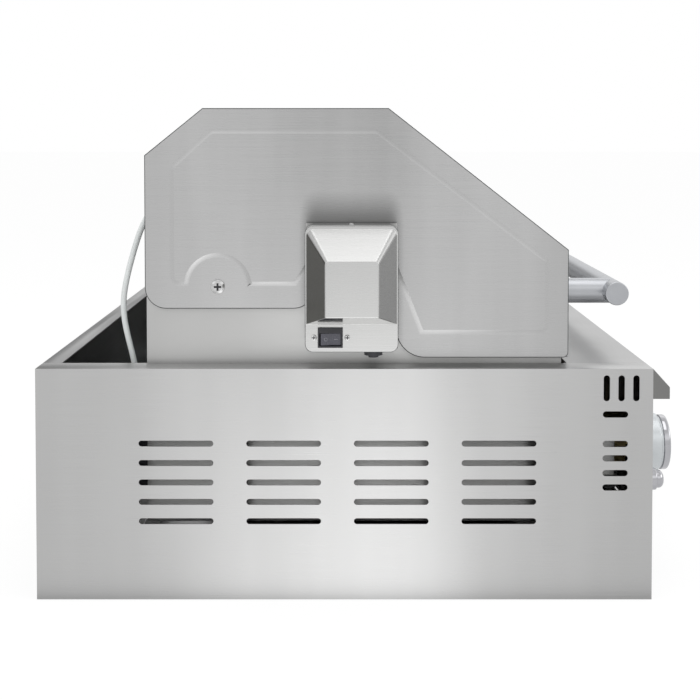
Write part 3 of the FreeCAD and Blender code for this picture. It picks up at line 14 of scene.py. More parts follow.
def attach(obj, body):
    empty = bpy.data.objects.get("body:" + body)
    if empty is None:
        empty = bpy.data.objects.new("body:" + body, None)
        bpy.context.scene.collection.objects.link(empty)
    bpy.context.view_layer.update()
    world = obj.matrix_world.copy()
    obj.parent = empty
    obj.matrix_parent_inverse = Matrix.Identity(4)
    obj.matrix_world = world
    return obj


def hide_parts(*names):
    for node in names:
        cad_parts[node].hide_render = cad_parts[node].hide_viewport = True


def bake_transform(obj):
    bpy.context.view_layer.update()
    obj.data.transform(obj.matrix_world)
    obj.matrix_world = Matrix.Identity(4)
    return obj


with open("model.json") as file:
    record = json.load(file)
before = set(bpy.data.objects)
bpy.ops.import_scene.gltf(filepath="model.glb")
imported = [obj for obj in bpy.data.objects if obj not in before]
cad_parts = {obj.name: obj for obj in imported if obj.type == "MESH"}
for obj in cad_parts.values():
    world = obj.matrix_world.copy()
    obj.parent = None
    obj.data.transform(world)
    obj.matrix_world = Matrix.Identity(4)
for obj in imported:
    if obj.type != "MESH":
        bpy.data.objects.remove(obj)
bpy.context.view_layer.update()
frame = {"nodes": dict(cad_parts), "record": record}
nodes = frame["nodes"]
scene = bpy.context.scene

# %% [markdown]
# ## Camera
# The picture is taken square on to the left side, from 1.13 m, with the lens level with the hood's top.
# The frame is mostly shifted down and hardly tilted, which keeps upright edges nearly upright.

# %% Photo camera
FOCAL = 1238.5 / 700 * 36
TILT = math.radians(2)

camera_data = bpy.data.cameras.new("photo_camera")
camera_data.sensor_width = 36
camera_data.lens = FOCAL
camera_data.shift_x = 0.0025
camera_data.shift_y = -0.2458
camera = bpy.data.objects.new("photo_camera", camera_data)
camera.location = (-1.5144, -0.0037, 0.4307)
camera.rotation_euler = (math.radians(90) - TILT, 0, math.radians(-90))
scene.collection.objects.link(camera)
scene.camera = camera
print("lens", round(camera_data.lens, 1), "shift", round(camera_data.shift_y, 4))

# %% [markdown]
# ## Lamp cable
# A limp silicone cable leaves the hood's rear fold, hangs in one bow and goes into a grommet in the cavity.
# A NURBS spline has no flat runs or tight corners, so it looks hung and not bent. The tube follows it. It is not
# attached to the hood, so it doesn't move when the hood opens.

# %% Cable route
CABLE_X = -0.330
CABLE_YZ = [
    (0.1883, 0.3530), (0.1923, 0.34607), (0.1973, 0.3340), (0.2026, 0.3170), (0.2080, 0.2970), (0.2122, 0.2750),
    (0.2118, 0.2560), (0.2083, 0.2380), (0.2030, 0.2170), (0.1982, 0.1920), (0.1960, 0.1710), (0.1960, 0.1500),
]
CABLE_RADIUS = 0.0028

route_data = bpy.data.curves.new("lamp_cable_route", "CURVE")
route_data.dimensions = "3D"
spline = route_data.splines.new("NURBS")
spline.points.add(len(CABLE_YZ) - 1)
for point, (y, z) in zip(spline.points, CABLE_YZ):
    point.co = (CABLE_X, y, z, 1)
spline.order_u = 3
spline.use_endpoint_u = True
spline.resolution_u = 8
route = bpy.data.objects.new("lamp_cable_route", route_data)
scene.collection.objects.link(route)
bpy.context.view_layer.update()
graph = bpy.context.evaluated_depsgraph_get()
line_mesh = bpy.data.meshes.new_from_object(route.evaluated_get(graph))

# %% Cable tube
route_data.bevel_depth = CABLE_RADIUS
route_data.bevel_resolution = 6
route_data.use_fill_caps = True
bpy.context.view_layer.update()
graph = bpy.context.evaluated_depsgraph_get()
cable_mesh = bpy.data.meshes.new_from_object(route.evaluated_get(graph))
lamp_cable = bpy.data.objects.new("lamp_cable", cable_mesh)
scene.collection.objects.link(lamp_cable)
bpy.data.objects.remove(route)
for face in cable_mesh.polygons:
    face.use_smooth = True
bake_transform(lamp_cable)
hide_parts("hood_light_cable")
print("cable faces", len(cable_mesh.polygons))

# %% [markdown]
# ## Studio
# Steel shows what stands round it, so the studio is as much a part of the finish as the material is.
# The lens sees plain white. Reflections see a white room with lighter upper walls and a dim far left corner,
# and a floor with a painted pool of light in its middle and a painted shadow beside the grill. Without the dim
# corner the cavity would look flat, and without the lighter walls the stamped band's upper slopes would be dark.

# %% Node helpers
WORLD_LIGHT = 0.70
ROOM_LIGHT = 0.92
UPPER_WALL_LIGHT = 0.45
DIM_CORNER_LIGHT = 0.06


def number_node(tree, operation, first, second=None):
    """One step of arithmetic. Each operand is a number or another node's output."""
    node = tree.nodes.new("ShaderNodeMath")
    node.operation = operation
    for socket, operand in zip(node.inputs, (first, second)):
        if operand is None:
            continue
        if isinstance(operand, (int, float)):
            socket.default_value = operand
        else:
            tree.links.new(operand, socket)
    return node.outputs[0]


def soft_step(tree, source, start, end, low, high):
    """low up to start, high from end on, and a smooth passage between."""
    node = tree.nodes.new("ShaderNodeMapRange")
    node.interpolation_type = "SMOOTHERSTEP"
    node.inputs["From Min"].default_value = start
    node.inputs["From Max"].default_value = end
    node.inputs["To Min"].default_value = low
    node.inputs["To Max"].default_value = high
    tree.links.new(source, node.inputs["Value"])
    return node.outputs["Result"]


def by_ray(tree, lens, mirrored, rest):
    """Three values: what the lens sees, what gloss and glass see, and what lights matt surfaces."""
    rays = tree.nodes.new("ShaderNodeLightPath")
    seen = number_node(tree, "MAXIMUM", rays.outputs["Is Glossy Ray"], rays.outputs["Is Transmission Ray"])
    total = number_node(tree, "MULTIPLY", rays.outputs["Is Camera Ray"], lens)
    total = number_node(tree, "ADD", total, number_node(tree, "MULTIPLY", seen, mirrored))
    other = number_node(tree, "SUBTRACT", 1.0, number_node(tree, "ADD", rays.outputs["Is Camera Ray"], seen))
    return number_node(tree, "ADD", total, number_node(tree, "MULTIPLY", other, rest))


def dim_corner(tree, direction):
    """1 in most directions and little towards the room's far left corner."""
    corner = tree.nodes.new("ShaderNodeVectorMath")
    corner.operation = "DOT_PRODUCT"
    corner.inputs[1].default_value = Vector((0.68, 0.73, 0)).normalized()
    tree.links.new(direction, corner.inputs[0])
    return soft_step(tree, corner.outputs["Value"], 0.62, 0.93, 1.0, DIM_CORNER_LIGHT)


# %% World
world = bpy.data.worlds.new("white_studio")
scene.world = world
world.use_nodes = True
tree = world.node_tree
direction = tree.nodes.new("ShaderNodeTexCoord").outputs["Generated"]
height = tree.nodes.new("ShaderNodeSeparateXYZ")
tree.links.new(direction, height.inputs["Vector"])
upper_wall = number_node(tree, "MULTIPLY", soft_step(tree, height.outputs["Z"], 0.22, 0.48, 0.0, 1.0),
                         soft_step(tree, height.outputs["Z"], 0.55, 0.85, 1.0, 0.0))
room = number_node(tree, "ADD", ROOM_LIGHT, number_node(tree, "MULTIPLY", upper_wall, UPPER_WALL_LIGHT))
room = number_node(tree, "MULTIPLY", dim_corner(tree, direction), room)
tree.links.new(by_ray(tree, 1.0, room, WORLD_LIGHT), tree.nodes["Background"].inputs["Strength"])
tree.nodes["Background"].inputs["Color"].default_value = (1, 1, 1, 1)
scene.view_settings.view_transform = "Standard"
print("world light", WORLD_LIGHT)

# %% [markdown]
# ### Floor
# The floor is matt for shadows and glows for the lens, so that it renders white and keeps a faint shadow. In
# reflections its glow has a painted pool of light and a painted shadow beside the grill, and it dims towards the
# far left corner like the room. The pool widens with its distance from the side panel, so that its mirror image
# there is an even upright streak.

# %% Floor
POOL_Y, POOL_WIDTH, POOL_LIGHT = 0.004, 0.176, 0.90
POOL_SPREAD = 0.754
FLOOR_LIGHT = 0.97
CABINET_HALF = (0.38, 0.285)
LENS_GLOW, LENS_SHARE, MIRROR_SHARE = 1.09, 0.78, 0.97

bpy.ops.object.select_all(action="DESELECT")
bpy.ops.mesh.primitive_plane_add(size=60, location=(0, 0, -0.0005))
floor = bpy.context.object
floor.name = "studio_floor"
floor_paint = bpy.data.materials.new("floor_paint")
floor_paint.use_nodes = True
tree = floor_paint.node_tree
matt = tree.nodes["Principled BSDF"]
matt.inputs["Base Color"].default_value = (0.88, 0.88, 0.88, 1)
matt.inputs["Roughness"].default_value = 1.0
matt.inputs["Specular IOR Level"].default_value = 0.0
parts = tree.nodes.new("ShaderNodeSeparateXYZ")
on_floor = tree.nodes.new("ShaderNodeTexCoord").outputs["Object"]
tree.links.new(on_floor, parts.inputs["Vector"])
heading = tree.nodes.new("ShaderNodeVectorMath")
heading.operation = "NORMALIZE"
tree.links.new(on_floor, heading.inputs[0])
away = number_node(tree, "ABSOLUTE", parts.outputs["X"])
across = number_node(tree, "ABSOLUTE", number_node(tree, "SUBTRACT", parts.outputs["Y"], POOL_Y))
widened = number_node(tree, "DIVIDE", across, number_node(tree, "ADD", away, POOL_SPREAD))
# Painted pool of light in the glow that reflections see.
painted_pool = soft_step(tree, widened, 0.0, POOL_WIDTH, POOL_LIGHT, 0.0)
painted_pool = number_node(tree, "MULTIPLY", painted_pool, soft_step(tree, away, 1.6, 2.3, 1.0, 0.0))
past_side = number_node(tree, "SUBTRACT", away, CABINET_HALF[0])
past_back = number_node(tree, "SUBTRACT", number_node(tree, "ABSOLUTE", parts.outputs["Y"]), CABINET_HALF[1])
beside = number_node(tree, "MAXIMUM", past_side, past_back)
# Painted shadow: beside the grill, the glow that reflections see drops to about a third.
painted_shadow = soft_step(tree, beside, -0.04, 0.06, 0.35, 1.0)
mirrored = number_node(tree, "MULTIPLY", number_node(tree, "ADD", painted_pool, FLOOR_LIGHT), painted_shadow)
mirrored = number_node(tree, "MULTIPLY", mirrored, dim_corner(tree, heading.outputs["Vector"]))
glow = tree.nodes.new("ShaderNodeEmission")
tree.links.new(by_ray(tree, LENS_GLOW, mirrored, 1.0), glow.inputs["Strength"])
both = tree.nodes.new("ShaderNodeMixShader")
tree.links.new(by_ray(tree, LENS_SHARE, MIRROR_SHARE, 0.0), both.inputs["Fac"])
tree.links.new(matt.outputs["BSDF"], both.inputs[1])
tree.links.new(glow.outputs["Emission"], both.inputs[2])
tree.links.new(both.outputs["Shader"], tree.nodes["Material Output"].inputs["Surface"])
floor.data.materials.append(floor_paint)
print("floor ready")


# %% Lamps
def soft_lamp(name, place, aim, width, length, power):
    """A flat lamp at place that faces aim."""
    data = bpy.data.lights.new(name, "AREA")
    data.shape = "RECTANGLE"
    data.size = width
    data.size_y = length
    data.energy = power
    lamp = bpy.data.objects.new(name, data)
    lamp.location = place
    lamp.rotation_euler = (Vector(aim) - Vector(place)).to_track_quat("-Z", "Y").to_euler()
    scene.collection.objects.link(lamp)
    return lamp


lens_lamp = soft_lamp("lens_lamp", (-2.6, 0.10, 1.10), (0, 0.02, 0.15), 0.8, 0.8, 7)
lens_lamp.visible_glossy = False
soft_lamp("overhead_lamp", (-0.4, 0.0, 2.4), (0, 0, 0.2), 1.8, 1.8, 12.5)
soft_lamp("front_lamp", (-0.8, -2.4, 1.3), (0, -0.2, 0.2), 1.2, 1.2, 7)

# %% [markdown]
# ## Finishes
# Every finish is a Principled shader with patterns on Object coordinates, so nothing slides or needs a UV map.
# Small helpers add one layer each: a stretched noise, a tint from it, a change of gloss and a fine relief.


# %% Material helpers
def plain_finish(name, colour, metallic, roughness):
    material = bpy.data.materials.new(name)
    material.use_nodes = True
    shader = material.node_tree.nodes["Principled BSDF"]
    shader.inputs["Base Color"].default_value = (*colour, 1)
    shader.inputs["Metallic"].default_value = metallic
    shader.inputs["Roughness"].default_value = roughness
    return material, shader


def noise(material, stretch, detail=2.0, offset=(0, 0, 0)):
    """Noise whose lumps are 1/stretch metres long along X, Y and Z."""
    tree = material.node_tree
    place = tree.nodes.new("ShaderNodeTexCoord")
    mapping = tree.nodes.new("ShaderNodeMapping")
    mapping.inputs["Scale"].default_value = stretch
    mapping.inputs["Location"].default_value = offset
    texture = tree.nodes.new("ShaderNodeTexNoise")
    texture.inputs["Scale"].default_value = 1.0
    texture.inputs["Detail"].default_value = detail
    tree.links.new(place.outputs["Object"], mapping.inputs["Vector"])
    tree.links.new(mapping.outputs["Vector"], texture.inputs["Vector"])
    return texture.outputs["Fac"]


def mixed(material, first, second, share):
    """share of the second pattern and the rest of the first."""
    tree = material.node_tree
    mix = tree.nodes.new("ShaderNodeMix")
    mix.inputs["Factor"].default_value = share
    tree.links.new(first, mix.inputs["A"])
    tree.links.new(second, mix.inputs["B"])
    return mix.outputs["Result"]


def tint(material, pattern, dark, light, low=0.35, high=0.65):
    tree = material.node_tree
    ramp = tree.nodes.new("ShaderNodeValToRGB")
    ramp.color_ramp.elements[0].position = low
    ramp.color_ramp.elements[1].position = high
    ramp.color_ramp.elements[0].color = (*dark, 1)
    ramp.color_ramp.elements[1].color = (*light, 1)
    tree.links.new(pattern, ramp.inputs["Fac"])
    tree.links.new(ramp.outputs["Color"], tree.nodes["Principled BSDF"].inputs["Base Color"])
    return ramp


def gloss(material, pattern, low, high):
    tree = material.node_tree
    spread = tree.nodes.new("ShaderNodeMapRange")
    spread.inputs["From Min"].default_value = 0.3
    spread.inputs["From Max"].default_value = 0.7
    spread.inputs["To Min"].default_value = low
    spread.inputs["To Max"].default_value = high
    tree.links.new(pattern, spread.inputs["Value"])
    tree.links.new(spread.outputs["Result"], tree.nodes["Principled BSDF"].inputs["Roughness"])


def relief(material, pattern, height, strength=1.0):
    """Raises the surface by up to height, in metres, where the pattern is light."""
    tree = material.node_tree
    bump = tree.nodes.new("ShaderNodeBump")
    bump.inputs["Distance"].default_value = height
    bump.inputs["Strength"].default_value = strength
    tree.links.new(pattern, bump.inputs["Height"])
    tree.links.new(bump.outputs["Normal"], tree.nodes["Principled BSDF"].inputs["Normal"])


# %% [markdown]
# ### Brushed steel
# Sheet steel is ground in one direction, so a reflection smears across the grain. Anisotropy does that, with
# the tangent turned about Z so that it lies level on every upright panel. Grain runs along Y on the sides and
# along X on the front, back and skin, and slow upright smears are where the belt pressed harder.

# %% Steel finishes
ALONG_Y = (2600, 14, 2600)
ALONG_X = (14, 2600, 2600)
PLAIN = (60, 60, 60)


def brushed(name, grain, dark, light, roughness, smear=(7, 7, 0.9), anisotropy=0.65, lines_share=0.24,
            depth=0.00002):
    material, shader = plain_finish(name, light, 1.0, roughness)
    lines = noise(material, grain, 3.0)
    clouds = noise(material, smear, 3.0, (0.3, 0.7, 0.1))
    tint(material, mixed(material, clouds, lines, lines_share), dark, light)
    gloss(material, lines, roughness - 0.05, roughness + 0.06)
    relief(material, lines, depth, 0.35)
    shader.inputs["Anisotropic"].default_value = anisotropy
    shader.inputs["Anisotropic Rotation"].default_value = 0.25
    level = material.node_tree.nodes.new("ShaderNodeTangent")
    level.direction_type = "RADIAL"
    level.axis = "Z"
    material.node_tree.links.new(level.outputs["Tangent"], shader.inputs["Tangent"])
    return material


side_steel = brushed("side_steel", ALONG_Y, (0.46, 0.46, 0.458), (0.55, 0.55, 0.548), 0.32)
face_steel = brushed("face_steel", ALONG_X, (0.385, 0.385, 0.385), (0.475, 0.475, 0.475), 0.34)
# The two hood sides differ only in the painted shade and reflection of the motor above it, which the far side
# hasn't got.
HOOD_TONES = ((0.435, 0.435, 0.435), (0.495, 0.495, 0.495))
HOOD_GRAIN = {"smear": (5, 14, 1.6), "lines_share": 0.15, "depth": 0.00001}
hood_side_painted_shade_steel = brushed("hood_side_painted_shade_steel", ALONG_Y, *HOOD_TONES, 0.30, **HOOD_GRAIN)
hood_far_steel = brushed("hood_far_steel", ALONG_Y, *HOOD_TONES, 0.30, **HOOD_GRAIN)
hood_skin_steel = brushed("hood_skin_steel", ALONG_X, (0.42, 0.42, 0.425), (0.50, 0.50, 0.505), 0.30)
wall_steel = brushed("wall_steel", ALONG_Y, (0.445, 0.445, 0.44), (0.515, 0.515, 0.51), 0.36, lines_share=0.15)
# Painted shade: a near-black finish for the inside of the back.
cavity_shade_steel = brushed("cavity_shade_steel", ALONG_X, (0.06, 0.065, 0.065), (0.10, 0.105, 0.105), 0.42, anisotropy=0.2)
# Painted shade: a dark grey finish for the ends of the ledge's nose.
nose_shade_steel = brushed("nose_shade_steel", ALONG_X, (0.20, 0.20, 0.195), (0.26, 0.26, 0.255), 0.40, anisotropy=0.3)
# Painted shade: near-black for outline and fold faces, as the shadow lines there.
painted_edge_shade = brushed("painted_edge_shade", ALONG_Y, (0.055, 0.06, 0.06), (0.09, 0.095, 0.095), 0.45, anisotropy=0.0)
motor_sheet = brushed("motor_sheet", ALONG_Y, (0.50, 0.50, 0.495), (0.54, 0.54, 0.535), 0.28, anisotropy=0.2,
                      lines_share=0.05, depth=0.000004)
# The cover's rear slope is painted dark as painted shade on that side. Its lower slope is polished enough to
# mirror the switch, and its colour is a little darker as painted shade there.
motor_shade = brushed("motor_shade_sheet", ALONG_Y, (0.16, 0.158, 0.145), (0.19, 0.187, 0.172), 0.30,
                      anisotropy=0.2, lines_share=0.05, depth=0.000004)
motor_low = brushed("motor_low_sheet", ALONG_Y, (0.42, 0.42, 0.415), (0.46, 0.46, 0.455), 0.13,
                    anisotropy=0.0, lines_share=0.05, depth=0.000002)
tray_sheet = brushed("tray_sheet", ALONG_X, (0.42, 0.42, 0.42), (0.52, 0.52, 0.52), 0.34)


def darken(material, loss):
    """Takes the finish's colour towards black by the share that loss gives."""
    tree = material.node_tree
    socket = tree.nodes["Principled BSDF"].inputs["Base Color"]
    colour = socket.links[0].from_socket
    mix = tree.nodes.new("ShaderNodeMix")
    mix.data_type = "RGBA"
    tree.links.new(loss, mix.inputs[0])
    tree.links.new(colour, mix.inputs[6])
    mix.inputs[7].default_value = (0.05, 0.05, 0.048, 1)
    tree.links.new(mix.outputs[2], socket)


def painted_upright_shade(material, middle_y, half_width, low, high, share):
    """A soft dark band over a height and a faint one all the way up: painted shade and reflection of the motor,
    drawn up the hood as the grain would.
    """
    tree = material.node_tree
    parts = tree.nodes.new("ShaderNodeSeparateXYZ")
    tree.links.new(tree.nodes.new("ShaderNodeTexCoord").outputs["Object"], parts.inputs["Vector"])
    across = number_node(tree, "ABSOLUTE", number_node(tree, "SUBTRACT", parts.outputs["Y"], middle_y))
    inside = soft_step(tree, across, half_width * 0.72, half_width * 1.35, 1.0, 0.0)
    broad = soft_step(tree, across, half_width * 0.5, half_width * 2.6, 0.15, 0.0)
    height = soft_step(tree, parts.outputs["Z"], low, high, share, 0.0)
    darken(material, number_node(tree, "MAXIMUM", number_node(tree, "MULTIPLY", inside, height), broad))


def painted_gap_shade(material, reach):
    """Darkens the finish where another surface stands within reach: painted shade, as in a narrow gap."""
    tree = material.node_tree
    near = tree.nodes.new("ShaderNodeAmbientOcclusion")
    near.inputs["Distance"].default_value = reach
    near.samples = 8
    loss = soft_step(tree, near.outputs["AO"], 0.35, 0.95, 0.45, 0.0)
    darken(material, loss)


NARROW_GAP = 0.009
MOTOR_Y, MOTOR_HALF_WIDTH = -0.0068, 0.043
PAINTED_SHADE_LOW, PAINTED_SHADE_HIGH, PAINTED_SHADE_SHARE = 0.340, 0.400, 0.62
# Painted shade on the firebox walls where another surface stands close.
painted_gap_shade(wall_steel, NARROW_GAP)
# Painted shade and reflection of the motor on the near hood side, above and round the motor.
painted_upright_shade(hood_side_painted_shade_steel, MOTOR_Y, MOTOR_HALF_WIDTH, PAINTED_SHADE_LOW, PAINTED_SHADE_HIGH, PAINTED_SHADE_SHARE)
print("brushed finishes", len([m for m in bpy.data.materials if "sheet" in m.name or "steel" in m.name]))

# %% [markdown]
# ### Satin, polished and cast metals
# The handle and knobs are pearl-satin castings, the ring, button and screws are chromed, the grates are bright
# rod. They differ mostly in roughness and in how uneven it is, so one cloudy noise changes tint and gloss.


# %% Other metals
def cloudy_metal(name, dark, light, smooth, rough, bumps=0.00001, scale=PLAIN):
    material, _ = plain_finish(name, light, 1.0, smooth)
    clouds = noise(material, scale, 4.0)
    tint(material, clouds, dark, light)
    gloss(material, clouds, smooth, rough)
    relief(material, noise(material, tuple(30 * s for s in scale), 2.0), bumps, 0.3)
    return material


handle_metal = cloudy_metal("handle_metal", (0.425, 0.435, 0.455), (0.455, 0.465, 0.485), 0.32, 0.36, 0.000002)
knob_metal = cloudy_metal("knob_metal", (0.575, 0.60, 0.615), (0.605, 0.63, 0.645), 0.34, 0.40, 0.000002)
chrome_metal = cloudy_metal("chrome_metal", (0.42, 0.42, 0.44), (0.47, 0.47, 0.49), 0.06, 0.10, 0.000001)
screw_metal = cloudy_metal("screw_metal", (0.50, 0.50, 0.50), (0.58, 0.58, 0.58), 0.16, 0.24, 0.000002)
rod_metal = cloudy_metal("rod_metal", (0.40, 0.39, 0.38), (0.52, 0.51, 0.50), 0.22, 0.34)
burner_metal = cloudy_metal("burner_metal", (0.34, 0.32, 0.30), (0.48, 0.47, 0.45), 0.32, 0.48)
pipe_alloy = cloudy_metal("pipe_alloy", (0.46, 0.47, 0.48), (0.58, 0.59, 0.60), 0.30, 0.42)
valve_metal = cloudy_metal("valve_metal", (0.55, 0.42, 0.18), (0.68, 0.54, 0.28), 0.28, 0.40)
needle_paint = cloudy_metal("needle_paint", (0.42, 0.03, 0.02), (0.55, 0.05, 0.04), 0.30, 0.40)
needle_paint.node_tree.nodes["Principled BSDF"].inputs["Metallic"].default_value = 0.0
print("metals", handle_metal.name, knob_metal.name, chrome_metal.name)

# %% [markdown]
# ### Plastic, rubber, ceramic and glass
# Moulded plastic has a fine stipple, the cable's silicone is smooth with a soft sheen, and the lamp lens is
# frosted, which a rough transmission shows without making the shader expensive.


# %% Non-metals
def moulded(name, dark, light, smooth, rough, stipple=0.00004, scale=(900, 900, 900)):
    material, _ = plain_finish(name, light, 0.0, smooth)
    grain = noise(material, scale, 2.0)
    tint(material, noise(material, PLAIN, 3.0), dark, light)
    gloss(material, grain, smooth, rough)
    relief(material, grain, stipple, 0.4)
    return material


black_plastic = moulded("black_plastic", (0.018, 0.018, 0.022), (0.030, 0.030, 0.036), 0.38, 0.50)
rocker_plastic = moulded("rocker_plastic", (0.085, 0.085, 0.105), (0.105, 0.105, 0.130), 0.22, 0.30, 0.00001)
mark_paint = moulded("mark_paint", (0.26, 0.26, 0.29), (0.32, 0.32, 0.35), 0.45, 0.55, 0.00001)
cable_jacket = moulded("cable_jacket", (0.82, 0.85, 0.845), (0.86, 0.89, 0.885), 0.42, 0.55, 0.00001)
ceramic = moulded("ceramic", (0.74, 0.72, 0.68), (0.82, 0.80, 0.76), 0.12, 0.20, 0.00001)
dial_paint = moulded("dial_paint", (0.70, 0.70, 0.69), (0.76, 0.76, 0.75), 0.40, 0.50, 0.00001)
lens_glass = moulded("lens_glass", (0.80, 0.82, 0.81), (0.88, 0.89, 0.88), 0.25, 0.35, 0.00001)
lens_glass.node_tree.nodes["Principled BSDF"].inputs["Transmission Weight"].default_value = 0.6
print("non-metals", black_plastic.name, cable_jacket.name)

# %% [markdown]
# ### Which finish goes where
# Nodes that keep their CAD mesh only need a finish in their slots. The slot's name says what the node is of.

# %% Assign the finishes
FINISHES = {
    "brushed_panel": face_steel, "hood_steel": hood_skin_steel, "inner_steel": wall_steel,
    "tray_steel": tray_sheet,
    "handle_satin": handle_metal, "knob_satin": knob_metal, "chrome": chrome_metal, "grate_steel": rod_metal,
    "burner_steel": burner_metal, "pipe_metal": pipe_alloy, "valve_brass": valve_metal, "ceramic": ceramic,
    "motor_steel": motor_sheet, "black_plastic": black_plastic, "rocker_plastic": rocker_plastic,
    "needle_red": needle_paint, "lamp_glass": lens_glass, "cable_jacket": cable_jacket,
}
OWN_FINISH = {
    "left_side_panel": side_steel, "right_side_panel": side_steel,
    "hood_left_side": hood_side_painted_shade_steel, "hood_right_side": hood_far_steel,
}
for part in frame["record"]["subparts"]:
    name = part["node"]
    material = OWN_FINISH.get(name, FINISHES[part["material_slot"]])
    node = nodes[name]
    node.data.materials.clear()
    node.data.materials.append(material)
lamp_cable.data.materials.append(cable_jacket)
print("nodes finished", len(nodes))

# %% [markdown]
# ## Softer forms
# A pressed sheet has rounded folds that catch a thin line of light, and a CAD edge has none. A copy of the node
# is merged, its flat faces are cleaned, and only the edges that the press rounds are bevelled.


# %% Modelling helpers
def deselect():
    if bpy.context.object and bpy.context.object.mode != "OBJECT":
        bpy.ops.object.mode_set(mode="OBJECT")
    bpy.ops.object.select_all(action="DESELECT")


def clean_copy(node_name):
    """A merged copy of a CAD node, active and in edit mode with nothing selected."""
    deselect()
    piece = bpy.data.objects.new(node_name + "_formed", nodes[node_name].data.copy())
    scene.collection.objects.link(piece)
    piece.select_set(True)
    bpy.context.view_layer.objects.active = piece
    bpy.ops.object.mode_set(mode="EDIT")
    bpy.ops.mesh.select_all(action="SELECT")
    bpy.ops.mesh.customdata_custom_splitnormals_clear()
    bpy.ops.mesh.remove_doubles(threshold=0.000002)
    bpy.ops.mesh.dissolve_limited(angle_limit=math.radians(0.4))
    bpy.ops.mesh.select_all(action="DESELECT")
    return piece


def pick(piece, kind, test):
    """Selects the edges or faces that pass the test, in edit mode, and returns how many."""
    bpy.ops.mesh.select_mode(type={"edges": "EDGE", "polygons": "FACE", "vertices": "VERT"}[kind])
    bpy.ops.mesh.select_all(action="DESELECT")
    bpy.ops.object.mode_set(mode="OBJECT")
    count = 0
    for element in getattr(piece.data, kind):
        element.select = bool(test(element))
        count += element.select
    bpy.ops.object.mode_set(mode="EDIT")
    return count


def sharp_edges(piece, degrees):
    """Indices of the edges where two faces meet at more than the angle."""
    bpy.ops.mesh.select_mode(type="EDGE")
    bpy.ops.mesh.select_all(action="DESELECT")
    bpy.ops.mesh.edges_select_sharp(sharpness=math.radians(degrees))
    bpy.ops.object.mode_set(mode="OBJECT")
    found = {edge.index for edge in piece.data.edges if edge.select}
    bpy.ops.object.mode_set(mode="EDIT")
    return found


def even_shading(piece):
    """Smooth shading in which large flat faces stay flat."""
    bpy.ops.object.mode_set(mode="OBJECT")
    for face in piece.data.polygons:
        face.use_smooth = True
    bpy.ops.object.shade_smooth_by_angle(angle=math.radians(50))
    modifier = piece.modifiers.new("flat_faces", "WEIGHTED_NORMAL")
    modifier.keep_sharp = True
    bpy.ops.object.modifier_apply(modifier=modifier.name)


def settle(piece, body, slot, materials, *stands_for):
    piece.data.materials.clear()
    for material in materials:
        piece.data.materials.append(material)
    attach(piece, body)
    if stands_for:
        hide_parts(*stands_for)
    print(piece.name, len(piece.data.polygons), "faces")


def finish_faces(piece, index, test):
    """Gives the faces that pass the test the piece's material of that index."""
    for face in piece.data.polygons:
        if test(face):
            face.material_index = index


def middle(piece, edge):
    a, b = (piece.data.vertices[index].co for index in edge.vertices)
    return (a + b) / 2


# %% Panels with rounded folds
def rounded_sheet(node_name, body, slot, material, width, segments=2, where=lambda point: True):
    piece = clean_copy(node_name)
    sharp = sharp_edges(piece, 25)
    pick(piece, "edges", lambda edge: edge.index in sharp and where(middle(piece, edge)))
    bpy.ops.mesh.bevel(offset=width, segments=segments, affect="EDGES", clamp_overlap=True)
    even_shading(piece)
    settle(piece, body, slot, [material], node_name)
    return piece


SHEET_EDGE = 0.0004
for node_name in ("left_side_panel", "right_side_panel"):
    rounded_sheet(node_name, "cabinet", "brushed_panel", side_steel, SHEET_EDGE)
for node_name in ("front_ledge", "control_panel"):
    rounded_sheet(node_name, "cabinet", "brushed_panel", face_steel, SHEET_EDGE)
# Painted shade: the inside of the back gets a near-black finish and the ends of the front ledge's nose a dark
# grey one, which stand in for the shade there.
back = rounded_sheet("back_panel", "cabinet", "brushed_panel", face_steel, SHEET_EDGE)
back.data.materials.append(cavity_shade_steel)
# Painted shade on the inside of the back.
finish_faces(back, 1, lambda face: face.normal.y < -0.5 and face.center.y > 0.280)
ledge = bpy.data.objects["front_ledge_formed"]
ledge.data.materials.append(nose_shade_steel)
# Painted shade on the nose's ends.
finish_faces(ledge, 1, lambda face: abs(face.normal.x) > 0.9 and face.center.y < -0.2851)
rounded_sheet("hood_skin", "hood", "hood_steel", hood_skin_steel, SHEET_EDGE)
for node_name in ("firebox_left_wall", "firebox_right_wall"):
    rounded_sheet(node_name, "cabinet", "inner_steel", wall_steel, SHEET_EDGE)

# %% [markdown]
# ## Stamped hood sides
# The raised panel is pressed up with a soft slope 5 mm wide all round. The plate's lower front corner is
# rounded first. Then the copy's raised face is inset, its old rim is let down to the plate and merged with it,
# and the slope's upper end is rounded. The outline is a sheared edge, and its faces are painted near-black as
# painted shade for the shadow line round the plate.

# %% Hood sides
PLATE = 0.358
RAISED = 0.3594
SLOPE = 0.0048
LOW_CORNER = 0.0050
SLOPE_ROUNDING = 0.0020
OUTLINE_ROUNDING = 0.0008


